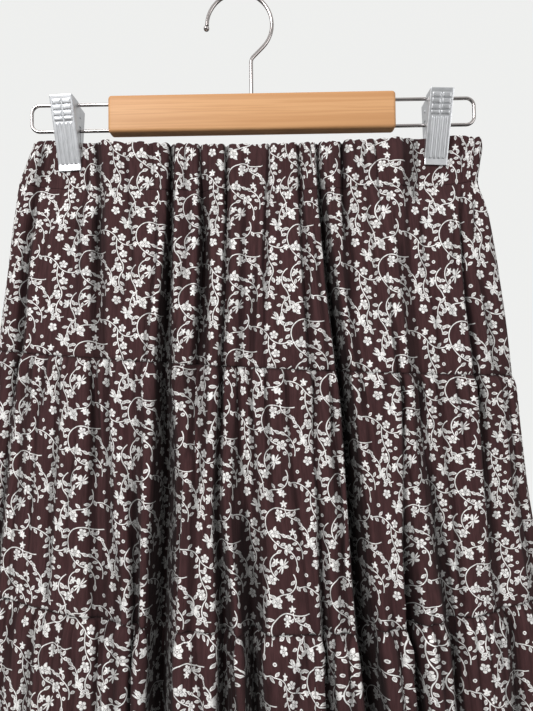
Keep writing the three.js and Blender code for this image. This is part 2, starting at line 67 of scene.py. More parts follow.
BAR_EDGE = 0.0026
BAR_EDGE_STEPS = 5
BAR_SMOOTH = math.radians(50)
WIRE_RADIUS = 0.00125
WIRE_OUTSIDE = 0.165
WIRE_HEIGHTS = (-0.08085, -0.10055)
WIRE_BEND = 0.006
WIRE_IN_BAR = 0.02
BORE_RADIUS = 0.0017
BORE_SIDES = 24
ROD_SIDES = 16
ROD_SMOOTH = math.radians(40)
BEND_STEP = 9.0
FEWEST_BEND_STEPS = 3
HOOK_RADIUS = 0.0014
STEM_IN_BAR = -0.0003
STEM_TOP = -0.051
STEM_SLANT = 0.00994
KNEE_RADIUS = 0.00575
KNEE_TURN = -45.0
BOW_TURN = 225.0
BOW_RADIUS = 0.0242
BOW_ACROSS = -0.0084
BOW_HEIGHT = -0.0228
BALL_RADIUS = 0.00215
BALL_OUT = 0.0004
BALL_SIDES = 24
BALL_RINGS = 14

# The clips, modelled in the middle of the bar and then moved to their places.  LIKE is how near a
# point has to be to count as lying on a plate's edge.
LIKE = 0.0004
PLATE_TOP = -0.0784
JAW_TIP = -0.1312
JAW_AT = 0.00315
LEAN_FROM = -0.1265
LEVER_LEAN = math.radians(14.9)
EAR_CLEAR = 0.0025
TAB_GAP = 0.0024
CLIP_EDGE = 0.00016
CLIP_EDGE_STEPS = 2
CLIP_SMOOTH = math.radians(35)
CLIP_LEAN = math.radians(2.5)
PIVOT_HEIGHT = -0.0907
PIVOT_RADIUS = 0.0026
PLATE_ROWS = 66
FRONT_HALF = 0.008
FRONT_COLUMNS = 20
BACK_HALF = 0.0068
BACK_COLUMNS = 6
CLIP_SHEET = 0.0008
PRESS_EDGE = 0.00028
GRIP_ROWS = 4
GRIP_FROM = 0.0034
GRIP_PITCH = 0.004
GRIP_TALL = 0.0026
GRIP_INNER = 0.0007
GRIP_OUTER = 0.0065
GRIP_HIGH = 0.0006
FLUTES_ACROSS = (-0.0048, -0.0016, 0.0016, 0.0048)
FLUTE_HALF = 0.0011
FLUTE_TOP = -0.0978
FLUTE_END = -0.1266
FLUTE_HIGH = 0.00045
PIN_RADIUS = 0.0009
PIN_SIDES = 20
COILS = 13
COIL_RADIUS = 0.0021
COIL_SIDES = 24
COIL_WIRE = 0.00038
COIL_WIRE_SIDES = 8
COIL_PITCH = 0.00085

# The cloth's form
PINCHED = 0.0016
PINCH_SIDE = 0.25
PINCH_FLAT = 0.013
PINCH_END = 0.027
PINCH_LOW = -0.143
PINCH_GONE = -0.178
CLIP_ACROSS = 0.136
COLUMNS_PER_GATHER = 3
COLUMNS_PER_WAVE = 6
OUTLINE_POINTS = 960
WAIST_DROOP = 0.0045
DROOP_FROM = 0.9
VALLEY_POWER = 1.7
VALLEY_STEEP = 1.7
VALLEY_GENTLE = 1.0
LIP = 0.2
LIP_AT = 1.9
LIP_WIDE = 0.7
FOLD_ROOM = 0.006
GATHER_ROOM = 0.005

# Sections of the whole skirt: reach to each side, depth to the front and back, and squareness
SECTIONS = (
    dict(z=-0.104, left=0.157, right=0.16, front=0.009, back=0.0085, square=3),
    dict(z=-0.118, left=0.162, right=0.168, front=0.0095, back=0.009, square=3),
    dict(z=-0.138, left=0.169, right=0.166, front=0.0105, back=0.01, square=2.8),
    dict(z=-0.152, left=0.173, right=0.165, front=0.0125, back=0.0115, square=2.6),
    dict(z=-0.173, left=0.176, right=0.172, front=0.015, back=0.013, square=2.4),
    dict(z=-0.205, left=0.1795, right=0.178, front=0.022, back=0.017, square=2.2),
    dict(z=-0.255, left=0.186, right=0.1845, front=0.029, back=0.021, square=2),
    dict(z=-0.33, left=0.194, right=0.192, front=0.037, back=0.026, square=1.9),
    dict(z=-0.4, left=0.202, right=0.2, front=0.043, back=0.031, square=1.9),
    dict(z=-0.45, left=0.209, right=0.208, front=0.047, back=0.035, square=1.9),
    dict(z=-0.56, left=0.223, right=0.223, front=0.055, back=0.044, square=1.9),
    dict(z=-0.704, left=0.238, right=0.24, front=0.064, back=0.054, square=1.9),
)

# Heights of the edges and seams at the left side, in the middle and at the right side
EDGES = {
    "waist": {"front": (-0.106, -0.1162, -0.1075), "back": (-0.106, -0.1145, -0.1075)},
    "casing": {"front": (-0.142, -0.1505, -0.1435), "back": (-0.142, -0.149, -0.1435)},
    "seam_1": {"front": (-0.263, -0.2775, -0.285), "back": (-0.263, -0.276, -0.285)},
    "seam_2": {"front": (-0.428, -0.45, -0.438), "back": (-0.428, -0.446, -0.438)},
    "hem": {"front": (-0.69, -0.704, -0.697), "back": (-0.69, -0.7, -0.697)},
}

# Main folds.  Each has three rows with a value for each of these heights: how far across the valley
# lies, how deep it is and half how wide.
FOLD_LEVELS = (-0.112, -0.2, -0.278, -0.36, -0.445, -0.704)
FRONT_FOLDS = (
    ((-0.152, -0.164, -0.17, -0.178, -0.185, -0.205), (0, 0.003, 0.005, 0.005, 0.006, 0.009),
     (0.004, 0.004, 0.005, 0.006, 0.006, 0.009)),
    ((-0.117, -0.111, -0.109, -0.104, -0.103, -0.11), (0.004, 0.006, 0.004, 0.004, 0.005, 0.009),
     (0.005, 0.006, 0.009, 0.012, 0.011, 0.014)),
    ((-0.09, -0.084, -0.082, -0.081, -0.079, -0.088), (0.001, 0.001, 0.001, 0.002, 0.006, 0.012),
     (0.004, 0.004, 0.005, 0.005, 0.005, 0.009)),
    ((-0.059, -0.06, -0.062, -0.061, -0.064, -0.068), (0.004, 0.009, 0.013, 0.018, 0.02, 0.028),
     (0.003, 0.0035, 0.006, 0.008, 0.008, 0.012)),
    ((-0.038, -0.035, -0.038, -0.04, -0.043, -0.044), (0.003, 0.008, 0.006, 0.002, 0.001, 0.002),
     (0.003, 0.004, 0.005, 0.005, 0.005, 0.007)),
    ((-0.019, -0.018, -0.021, -0.024, -0.021, -0.02), (0.003, 0.005, 0.006, 0.005, 0.01, 0.018),
     (0.003, 0.0035, 0.004, 0.004, 0.005, 0.009)),
    ((-0.004, -0.006, -0.008, -0.006, -0.002, 0.006), (0.001, 0.002, 0.004, 0.008, 0.014, 0.022),
     (0.004, 0.006, 0.011, 0.012, 0.007, 0.011)),
    ((0.012, 0.009, 0.008, 0.01, 0.015, 0.027), (0.003, 0.004, 0.002, 0.001, 0.001, 0.002),
     (0.003, 0.003, 0.004, 0.006, 0.008, 0.009)),
    ((0.033, 0.036, 0.04, 0.043, 0.046, 0.054), (0.002, 0.003, 0.003, 0.003, 0.008, 0.014),
     (0.003, 0.003, 0.004, 0.004, 0.004, 0.008)),
    ((0.047, 0.052, 0.06, 0.066, 0.071, 0.096), (0.004, 0.013, 0.019, 0.021, 0.023, 0.03),
     (0.0025, 0.0035, 0.0045, 0.0055, 0.0065, 0.011)),
    ((0.065, 0.067, 0.074, 0.082, 0.087, 0.111), (0.004, 0.003, 0.001, 0.0005, 0.0005, 0.001),
     (0.003, 0.004, 0.005, 0.005, 0.005, 0.006)),
    ((0.088, 0.094, 0.1, 0.101, 0.103, 0.126), (0.002, 0.002, 0.004, 0.003, 0.012, 0.02),
     (0.004, 0.004, 0.0035, 0.004, 0.005, 0.011)),
    ((0.112, 0.112, 0.118, 0.125, 0.131, 0.152), (0.002, 0.005, 0.007, 0.007, 0.008, 0.012),
     (0.008, 0.012, 0.016, 0.016, 0.008, 0.012)),
    ((0.152, 0.151, 0.157, 0.163, 0.168, 0.19), (0.0005, 0.005, 0.005, 0.003, 0.003, 0.008),
     (0.003, 0.004, 0.005, 0.007, 0.008, 0.01)),
)
BACK_FOLDS = (
    ((-0.152, -0.162, -0.168, -0.175, -0.183, -0.204), (0, 0.002, 0.004, 0.005, 0.006, 0.009),
     (0.004, 0.005, 0.006, 0.007, 0.008, 0.01)),
    ((-0.115, -0.118, -0.121, -0.124, -0.128, -0.142), (0.003, 0.005, 0.006, 0.006, 0.007, 0.012),
     (0.004, 0.005, 0.007, 0.008, 0.009, 0.012)),
    ((-0.086, -0.082, -0.08, -0.084, -0.088, -0.098), (0.002, 0.006, 0.009, 0.01, 0.012, 0.018),
     (0.003, 0.004, 0.005, 0.007, 0.008, 0.011)),
    ((-0.06, -0.056, -0.052, -0.05, -0.052, -0.058), (0.003, 0.002, 0.003, 0.003, 0.006, 0.01),
     (0.003, 0.004, 0.005, 0.005, 0.006, 0.009)),
    ((-0.033, -0.03, -0.026, -0.024, -0.02, -0.02), (0.003, 0.006, 0.01, 0.014, 0.015, 0.022),
     (0.003, 0.004, 0.005, 0.006, 0.008, 0.011)),
    ((-0.008, -0.004, 0.0, 0.004, 0.008, 0.016), (0.002, 0.003, 0.003, 0.002, 0.005, 0.009),
     (0.003, 0.004, 0.005, 0.005, 0.006, 0.009)),
    ((0.02, 0.024, 0.028, 0.032, 0.036, 0.046), (0.003, 0.004, 0.005, 0.004, 0.005, 0.01),
     (0.003, 0.004, 0.005, 0.006, 0.007, 0.01)),
    ((0.048, 0.05, 0.054, 0.06, 0.066, 0.08), (0.002, 0.007, 0.011, 0.012, 0.015, 0.022),
     (0.003, 0.004, 0.005, 0.007, 0.008, 0.011)),
    ((0.078, 0.082, 0.086, 0.09, 0.096, 0.112), (0.003, 0.003, 0.002, 0.003, 0.005, 0.009),
     (0.003, 0.004, 0.005, 0.006, 0.007, 0.01)),
    ((0.11, 0.112, 0.118, 0.124, 0.13, 0.146), (0.003, 0.005, 0.006, 0.007, 0.008, 0.014),
     (0.004, 0.006, 0.008, 0.009, 0.009, 0.012)),
    ((0.152, 0.156, 0.162, 0.168, 0.176, 0.198), (0, 0.002, 0.004, 0.004, 0.005, 0.008),
     (0.004, 0.005, 0.006, 0.007, 0.008, 0.01)),
)
FOLDS = {"front": FRONT_FOLDS, "back": BACK_FOLDS}

# The cut pieces from the waist down: how many gathers the solid's half has, and at each share of the
# way down the height of the gathers and of the broad waves, and the puff below a seam.  "cut" is the
# flat cloth of one half, width and height.  "like" names the piece whose columns it shares, and
# "pleats" is the share of its finer pleats.
PIECES = (
    dict(
        name="waistband", top="waist", bottom="casing", gathers=22, like="tier_1",
        down=(0, 0.34, 0.7, 1), gather=(0.002, 0.0028, 0.0028, 0.002),
        wave=(0.0006, 0.0008, 0.0008, 0.0006), puff=(0, 0.0008, 0.0006, 0),
        pleats=0.75, cut=(0.4, 0.034), wall=0.0011, columns=400, rows=26,
    ),
    dict(
        name="tier_1", top="casing", bottom="seam_1", gathers=22, like="tier_1",
        down=(0, 0.1, 0.25, 0.45, 0.72, 1), gather=(0.002, 0.0032, 0.003, 0.0024, 0.0017, 0.001),
        wave=(0.0006, 0.0014, 0.002, 0.0022, 0.002, 0.0014), puff=(0, 0.0008, 0.0006, 0, 0, 0),
        pleats=0.75, cut=(0.46, 0.127), wall=0.0006, columns=400, rows=64,
    ),
    dict(
        name="tier_2", top="seam_1", bottom="seam_2", gathers=34, like="tier_2",
        down=(0, 0.05, 0.2, 0.5, 1), gather=(0.0016, 0.0032, 0.003, 0.0021, 0.0011),
        wave=(0.0006, 0.0012, 0.0024, 0.0032, 0.0024), puff=(0, 0.0022, 0.0017, 0.0004, 0),
        pleats=1.3, cut=(0.6, 0.172), wall=0.0006, columns=440, rows=76,
    ),
    dict(
        name="tier_3", top="seam_2", bottom="hem", gathers=38, like="tier_3",
        down=(0, 0.045, 0.2, 0.56, 1), gather=(0.0016, 0.0034, 0.0028, 0.0012, 0.0006),
        wave=(0.0008, 0.0016, 0.0034, 0.005, 0.007), puff=(0, 0.0034, 0.0026, 0.0006, 0),
        pleats=1.8, cut=(0.78, 0.254), wall=0.0006, columns=460, rows=100,
    ),
)
BACK_SHARE = 0.8
ROW_CROWDING = 0.45

# Gathers: ridges of uneven height and lean, that start late and swing to and fro
LOWEST_RIDGE = 0.5
RIDGE_MIDDLE = 0.5
RIDGE_POWER = 0.62
RIDGE_LEAN = 1.5
LATE_BY = 0.45
LATE_PACE = 0.8
SWING_BY = 0.3
SWING_WIDE = 3.0
SWING_HIGH = 0.05
FACING = (0.15, 0.85)
# Finer pleats that fade out below a seam, creases and the frill of the waist's edge
PLEAT_HIGH = 0.0017
PLEATS_PER_GATHER = 2.3
PLEAT_LENGTHS = (0.012, 0.1)
CREASE_HIGH = 0.0005
CREASES_PER_GATHER = 1.9
CREASE_LONG = 0.045
RUFFLE_HIGH = 0.0016
# How much of the relief a seam leaves beside itself, and over which height it comes back
SEAM_HOLDS = {"below": 0.55, "above": 0.4}
SEAM_FADE = {"below": 0.0035, "above": 0.014}
# Painted shade: the cloth just below a seam is painted darker, fading out over SEAM_SHADE_HIGH
SEAM_SHADE = 0.7
SEAM_SHADE_HIGH = 0.0022
SEAM_SUNK = 0.0008
SEAM_WIDE = 0.003

CLOTH_MAP = "cloth"
# Painted shade: cloth deep in a fold, behind its ridges on both sides, is painted darker through this
# attribute
SHADE_ATTRIBUTE = "painted_shade"
SHADE_IN_FOLDS = dict(reach=16, slope=0.6, full=0.0032, share=1.0)
SHADE_IN_PLEATS = dict(reach=5, slope=0.3, full=0.0009, share=0.6)
# Beyond this share of the half width, the painted shade fades out towards the sides
SHADE_SIDE_FADE = 0.92
# Where each piece was cut from the printed cloth: its top edge and its left side
PRINT_TOP = {"waistband": 0.034, "tier_1": 0.0, "tier_2": 0.021, "tier_3": 0.058}
PRINT_ACROSS = {
    "waistband": {"front": 0.0, "back": 0.017},
    "tier_1": {"front": 0.0, "back": 0.017},
    "tier_2": {"front": 0.024, "back": 0.041},
    "tier_3": {"front": 0.009, "back": 0.03},
}

# The print, a small repeat of vines charted for this skirt.  Each column of it stands higher
# than the one to its left by PRINT_DROP.
PRINT_WIDE = 0.052
PRINT_HIGH = 0.072
PRINT_DROP = 0.024
VINE_HALF = 0.00036
SOFT_EDGE = 0.0001
PRINT_SCALE = 0.93
MOTIF_SHARE = 0.94
UNIT_SOFT = 0.05
TURN_STEP = math.radians(15)
PRINT_REACH = 0.0003
FAR_OFF = 9.0
PITCH_ROOM = 0.001
REPEATS_AROUND = range(-2, 3)
BEND_POINTS = 8
LEAF_ANGLE = math.radians(52)
FLOWER_ANGLE = math.radians(80)
STALK = 0.0006
LEAF_SLIM = 0.25
END_LEAF = (0.0026, 0.0012)

# The motifs' shapes, as shares of their half sizes.  A tone is the share of the print's colour.
LEAF = dict(inside=0.5, vein=0.14, tones=(0.38, 0.9))
FLOWER = dict(
    petals=5, round=0.8, lobe=0.4, ring_at=0.36, ring=0.06, gap=0.3, gap_soft=0.1, gap_from=0.3,
    line_tone=0.35, eye=0.15, eye_tone=0.2,
)
STAR = dict(points=5, notch=0.58)
BLOSSOM = dict(
    petals=7.0, sways=2.0, sway=2.2, sway_from=0.7, lobe=0.3, gap=-0.55, gap_soft=0.2, gap_from=0.22,
    line_tone=0.4, eye=0.12,
)
BERRY = dict(soft=0.1, eye=0.5, eye_tone=0.35)

# Vines: start, heading in degrees, and bends of radius and turn in degrees
SCROLLS = {
    "arch": ((0.046, 0.067), 190, ((0.024, -28), (0.011, 118), (0.019, 62), (0.012, -75))),
    "tail": ((0.019, 0.0335), 215, ((0.01, 92), (0.016, -40), (0.007, 60))),
    "climber": ((0.004, 0.053), 262, ((0.026, 38), (0.009, -62), (0.013, 58))),
    "curl": ((0.038, 0.0225), 300, ((0.009, -118), (0.015, 40))),
    "sprig": ((0.046, 0.033), 78, ((0.013, 75),)),
    "twig": ((0.016, 0.06), 95, ((0.015, 40),)),
    "spur": ((0.0355, 0.0683), 275, ((0.009, 72),)),
    "bough": ((0.026, 0.0195), 140, ((0.012, -60), (0.009, -50))),
    "branch": ((0.0415, 0.0135), 10, ((0.014, -70), (0.01, 80))),
    "inner": ((0.0198, 0.05), 30, ((0.012, -55),)),
    "runner": ((0.0105, 0.014), 200, ((0.008, -100),)),
    "stray": ((0.02, 0.013), 215, ((0.014, 55),)),
    "shoot": ((0.051, 0.0435), 60, ((0.009, 80),)),
}
# Motifs on the vines: first and last place along the vine, pitch, length, kind and side, 0 by turns
SPRAYS = (
    ("arch", 0.002, 0.008, 0.004, 0.0048, "leaf", 1),
    ("arch", 0.0115, 0.0115, 0.001, 0.0058, "star", -1),
    ("arch", 0.014, 0.014, 0.001, 0.0064, "flower", 1),
    ("arch", 0.0245, 0.0345, 0.0042, 0.005, "leaf", -1),
    ("arch", 0.041, 0.041, 0.001, 0.0076, "flower", 1),
    ("arch", 0.0385, 0.0385, 0.001, 0.0046, "star", -1),
    ("arch", 0.047, 0.058, 0.0038, 0.0048, "leaf", 0),
    ("arch", 0.063, 0.066, 0.003, 0.0028, "berry", 0),
    ("tail", 0.003, 0.016, 0.0034, 0.0054, "leaf", 0),
    ("tail", 0.018, 0.018, 0.001, 0.0072, "flower", 1),
    ("tail", 0.023, 0.033, 0.0034, 0.005, "leaf", 0),
    ("climber", 0.0015, 0.016, 0.0029, 0.0048, "leaf", 0),
    ("climber", 0.02, 0.02, 0.001, 0.0066, "flower", -1),
    ("climber", 0.023, 0.038, 0.0036, 0.0048, "leaf", 0),
    ("curl", 0.0035, 0.012, 0.0038, 0.0048, "leaf", 0),
    ("curl", 0.015, 0.015, 0.001, 0.006, "star", 1),
    ("curl", 0.019, 0.028, 0.0033, 0.0048, "leaf", 0),
    ("sprig", 0.0025, 0.015, 0.0028, 0.0046, "leaf", 0),
    ("twig", 0.002, 0.0095, 0.0028, 0.0044, "leaf", 0),
    ("spur", 0.0025, 0.0095, 0.003, 0.0042, "leaf", 0),
    ("bough", 0.0025, 0.01, 0.0034, 0.0046, "leaf", 0),
    ("bough", 0.014, 0.014, 0.001, 0.0056, "star", -1),
    ("branch", 0.002, 0.014, 0.003, 0.0046, "leaf", 0),
    ("branch", 0.0175, 0.0175, 0.001, 0.0066, "flower", 1),
    ("branch", 0.022, 0.03, 0.0032, 0.0046, "leaf", 0),
    ("inner", 0.0025, 0.01, 0.0032, 0.0042, "leaf", 0),
    ("runner", 0.002, 0.012, 0.003, 0.0046, "leaf", 0),
    ("stray", 0.002, 0.012, 0.003, 0.0046, "leaf", 0),
    ("shoot", 0.002, 0.011, 0.0029, 0.0044, "leaf", 0),
)
# Motifs on their own: place, turn in degrees, half length, half width and kind
LOOSE_MOTIFS = (
    ((0.0115, 0.0675), -35, 0.006, 0.0046, "blossom"),
    ((0.0305, 0.0285), 60, 0.0064, 0.0044, "blossom"),
    ((0.036, 0.0405), 5, 0.0036, 0.0036, "flower"),
    ((0.0245, 0.004), 15, 0.0038, 0.0038, "flower"),
    ((0.009, 0.0425), 30, 0.0033, 0.0033, "flower"),
    ((0.0035, 0.0055), 45, 0.0036, 0.0036, "flower"),
    ((0.0125, 0.0255), 60, 0.003, 0.003, "star"),
    ((0.001, 0.02), 0, 0.0031, 0.0031, "star"),
    ((0.04, 0.0515), 12, 0.003, 0.003, "star"),
    ((0.033, 0.0075), 40, 0.0028, 0.0028, "star"),
    ((0.003, 0.0615), 20, 0.0029, 0.0029, "star"),
    ((0.0305, 0.061), 15, 0.0026, 0.0026, "star"),
    ((0.0475, 0.0215), 0, 0.0014, 0.0014, "berry"),
    ((0.0285, 0.0445), 0, 0.0013, 0.0013, "berry"),
    ((0.0145, 0.0385), 0, 0.0013, 0.0013, "berry"),
    ((0.0435, 0.0605), 0, 0.0014, 0.0014, "berry"),
    ((0.046, 0.0585), 0, 0.0012, 0.0012, "berry"),
)

# The materials.  Noises have a scale for each direction and a detail.  A range and two tones tell
# between which noise values the first tone turns into the second.
CREPE_FINISH = {
    "Roughness": 0.95, "Specular IOR Level": 0.15, "Sheen Weight": 0.03, "Sheen Roughness": 0.5,
}
CRINKLES = (((420.0, 30.0, 1.0), 3.0), ((1100.0, 120.0, 1.0), 2.0))
FINE_CRINKLE = 0.4
# The crinkle's colour follows its bump height: painted shade in its hollows, painted light on its
# crests
CRINKLE_SHADE_TONES = (0.36, 0.62, 0.74, 1.1)
BLOT_SCALE = 900.0
BLOT_DETAIL = 2.0
BLOT_TONES = (0.3, 0.62, 0.8, 1.0)
# Painted shade in folds and below seams: between the first two values of the attribute, the colour
# falls from the third tone to the fourth
SHADE_TONES = (0.05, 1.0, 1.0, 0.22)
WOOD_FINISH = {
    "Roughness": 0.55, "Specular IOR Level": 0.35, "Coat Weight": 0.06, "Coat Roughness": 0.3,
}
GRAINS = (((11.0, 640.0, 640.0), 6.0), ((3.0, 110.0, 110.0), 2.0))
DEEP_GRAIN = (0.84, 0.77, 0.7, 1.0)
BROAD_RANGE = (0.35, 0.65)
FIBRE_SHARES = (0.42, 0.62, 0.0, 0.7)
GRAIN_BUMP = 0.25
GRAIN_HIGH = 0.0001
WIRE_ROUGHNESS = 0.16
CLIP_ROUGHNESS = 0.4
CLOUD_SCALE = 220.0
CLOUD_DETAIL = 3.0
CLOUD_RANGE = (0.3, 0.7)
CLOUD_SHARES = (0.92, 1.1)

# The camera, fitted to the hanger in the picture
CAMERA_AT = Vector((0.0242, -0.4169, -0.2783))
CAMERA_TURN = math.radians(0.92)
CAMERA_TILT = math.radians(1.31)
CAMERA_ROLL = math.radians(-0.61)
CAMERA_LENS = 28.8
CAMERA_SENSOR = 36.0

FLOOR_RADIUS = 0.42
FLOOR_SIDES = 96
FLOOR_ROUGHNESS = 0.9
ROOM_RANGE = (-0.6, 0.9)
ROOM_LOW = 0.12
ROOM_HIGH = 0.85
AIM_HEIGHT = -0.35
KEY_AT = (-0.75, -1.3, 0.55)
KEY_SIZE = 0.7
FILL_AT = (1.3, -1.1, -0.1)
FILL_SIZE = 1.0
FILL_SHARE = 0.25

# Scattered numbers, made as in the solids' own source
SCATTER_STEP = 12.9898
SCATTER_START = 4.137
SCATTER_SPREAD = 43758.5453
SEED_STEP = 31.0
SEEDS = {
    "front": 10, "back": 70, "lean": 51, "wave": 200, "pleat": 300, "late": 400, "swing": 500,
    "length": 600, "crease": 700, "frill": 910,
}

# Small functions


def mix(a, b, share):
    return a + (b - a) * share


def ease(start, end, value):
    share = np.clip((value - start) / (end - start), 0.0, 1.0)
    return share * share * (3.0 - 2.0 * share)


def uneven(number):
    """A fixed, scattered number from 0 to 1, the same as the solids use."""
    scattered = np.sin(number * SCATTER_STEP + SCATTER_START) * SCATTER_SPREAD
    return scattered - np.floor(scattered)


def drift(place, seed):
    """A smooth, scattered curve from -1 to 1 with one knot at each whole number."""
    number = np.floor(place)
    blend = ease(0.0, 1.0, place - number)
    return 2.0 * mix(uneven(number + seed), uneven(number + 1.0 + seed), blend) - 1.0


def drift_both(place, height, seed):
    """The same over a surface, which changes slowly from one height to the next."""
    number = np.floor(height)
    blend = ease(0.0, 1.0, height - number)
    above, below = (drift(place, seed + SEED_STEP * step) for step in (number, number + 1.0))
    return mix(above, below, blend)


def along(heights, values, z):
    """A smooth curve through values given at descending heights."""
    values = np.asarray(values, float)
    last = len(heights) - 1
    if z >= heights[0]:
        return values[..., 0]
    if z <= heights[last]:
        return values[..., last]
    i = next(k for k in range(last) if heights[k + 1] < z <= heights[k])
    span = heights[i + 1] - heights[i]

    def slope(k):
        before, after = max(k - 1, 0), min(k + 1, last)
        return (values[..., after] - values[..., before]) / (heights[after] - heights[before])

    f = (z - heights[i]) / span
    leave = f * (1.0 - f) ** 2 * span * slope(i)
    arrive = f * f * (1.0 - f) * span * slope(i + 1)
    return mix(values[..., i], values[..., i + 1], ease(0.0, 1.0, f)) + leave - arrive


# The cloth's form


def section_size(key, z):
    return along([s["z"] for s in SECTIONS], [s[key] for s in SECTIONS], z)


def edge_height(edge, side, across):
    """The height of an edge at a place across, given as a share of the half width."""
    left, middle, right = EDGES[edge][side]
    tilt = (right - left) / 2
    bow = (left + right) / 2 - middle
    droop = WAIST_DROOP * ease(DROOP_FROM, 1.0, np.abs(across)) if edge == "waist" else 0.0
    return middle + tilt * across + bow * across * across - droop


def pinch(across, z):
    """How flat the clips hold the waist: 1 between the jaws, 0 away from them."""
    beside = np.abs(np.abs(across) - CLIP_ACROSS)
    return (1.0 - ease(PINCH_FLAT, PINCH_END, beside)) * (1.0 - ease(-PINCH_LOW, -PINCH_GONE, -z))


def fold_profile(offset):
    """A narrow valley of half width 1, steeper on its left side, with a low lip beside it."""
    far = np.abs(offset) * np.where(offset < 0, VALLEY_STEEP, VALLEY_GENTLE)
    return np.exp(-(far**VALLEY_POWER)) - LIP * np.exp(-(((far - LIP_AT) / LIP_WIDE) ** 2))


def plan_normal(x, y, towards):
    """Outward normals in plan, square to the sides at both ends."""
    dx, dy = np.gradient(x), np.gradient(y)
    length = np.maximum(np.hypot(dx, dy), 1e-12)
    nx, ny = -towards * dy / length, towards * dx / length
    nx[0], ny[0], nx[-1], ny[-1] = -1.0, 0.0, 1.0, 0.0
    return nx, ny


def plan(side, z):
    """The plan of one half at one height, with its main folds pushed in, and the folds' places."""
    towards = -1 if side == "front" else 1
    power = 2 / section_size("square", z)
    angle = np.pi * (1 - np.arange(OUTLINE_POINTS + 1) / OUTLINE_POINTS)
    cosine, sine = np.cos(angle), np.clip(np.sin(angle), 0.0, 1.0)
    reach = np.where(cosine < 0, -section_size("left", z), section_size("right", z))
    x = reach * np.abs(cosine) ** power
    held = pinch(x, z)
    y = towards * mix(section_size(side, z) * sine**power, PINCHED, held * ease(0.0, PINCH_SIDE, sine))
    nx, ny = plan_normal(x, y, towards)
    across, deep, wide = (
        np.array([along(FOLD_LEVELS, row, z) for row in rows]) for rows in zip(*FOLDS[side])
    )
    valleys = np.maximum(deep, 0.0) * fold_profile((x[:, None] - across) / wide)
    inward = valleys.sum(axis=1) * (1 - held) * ease(0.0, FOLD_ROOM, np.abs(y))
    px, py = x - nx * inward, y - ny * inward
    lengths = np.concatenate([[0.0], np.cumsum(np.hypot(np.diff(px), np.diff(py)))])
    return dict(x=px, y=py, held=held, lengths=lengths, marks=np.interp(across, x, lengths))


def fold_columns(piece, side):
    """The column that each main fold keeps all the way down a piece."""
    shared = next(p for p in PIECES if p["name"] == piece["like"])
    middle = mix(EDGES[shared["top"]][side][1], EDGES[shared["bottom"]][side][1], 0.5)
    row = plan(side, middle)
    columns = piece["gathers"] * COLUMNS_PER_GATHER
    return np.round(columns * row["marks"] / row["lengths"][-1])


def ridges(place, seed):
    """Rounded ridges with narrow valleys between them, each of its own height and lean."""
    number = np.floor(place)
    height = mix(LOWEST_RIDGE, 1.0, uneven(number + seed))
    lean = RIDGE_LEAN ** (2.0 * uneven(number + seed + SEEDS["lean"]) - 1.0)
    return height * np.sin(np.pi * (place - number) ** lean) ** RIDGE_POWER - RIDGE_MIDDLE


def relief(piece, side, place, down, free):
    """How far the cloth stands out of its plan at one height: gathers, waves, puffs and pleats."""
    seed = SEEDS[side]
    height = piece["cut"][1]
    below, above = down * height, (1 - down) * height
    if piece["name"] == "waistband":
        below = -above
    gather_place = place / COLUMNS_PER_GATHER
    lateness = 1.0 + LATE_BY * drift(gather_place * LATE_PACE, seed + SEEDS["late"])
    gather = np.interp(np.clip(down * lateness, 0.0, 1.0), piece["down"], piece["gather"])
    heights = [-share for share in piece["down"]]
    wave, puff = (along(heights, piece[key], -down) for key in ("wave", "puff"))
    swing = SWING_BY * drift_both(gather_place / SWING_WIDE, below / SWING_HIGH, seed + SEEDS["swing"])
    gathered = gather * ridges(gather_place + swing, seed)
    waved = wave * ridges(place / COLUMNS_PER_WAVE + 0.5, seed + SEEDS["wave"])
    pleat_place = gather_place * PLEATS_PER_GATHER
    pleat_length = mix(*PLEAT_LENGTHS, uneven(np.floor(pleat_place) + seed + SEEDS["length"]) ** 2)
    fading = np.exp(-np.maximum(below, 0.0) / pleat_length)
    pleated = piece["pleats"] * PLEAT_HIGH * fading * ridges(pleat_place, seed + SEEDS["pleat"])
    crease_place = gather_place * CREASES_PER_GATHER
    creased = CREASE_HIGH * drift_both(crease_place, below / CREASE_LONG, seed + SEEDS["crease"])
    detail = gathered + waved + puff + creased + pleated
    if piece["name"] == "waistband":
        return free * detail
    if piece["name"] != "tier_1":
        detail = detail * mix(SEAM_HOLDS["below"], 1.0, ease(0.0, SEAM_FADE["below"], below))
        detail = detail - SEAM_SUNK * (1.0 - ease(0.0, SEAM_WIDE, below))
    if piece["bottom"] != "hem":
        detail = detail * mix(SEAM_HOLDS["above"], 1.0, ease(0.0, SEAM_FADE["above"], above))
        detail = detail - SEAM_SUNK * (1.0 - ease(0.0, SEAM_WIDE, above))
    return free * detail


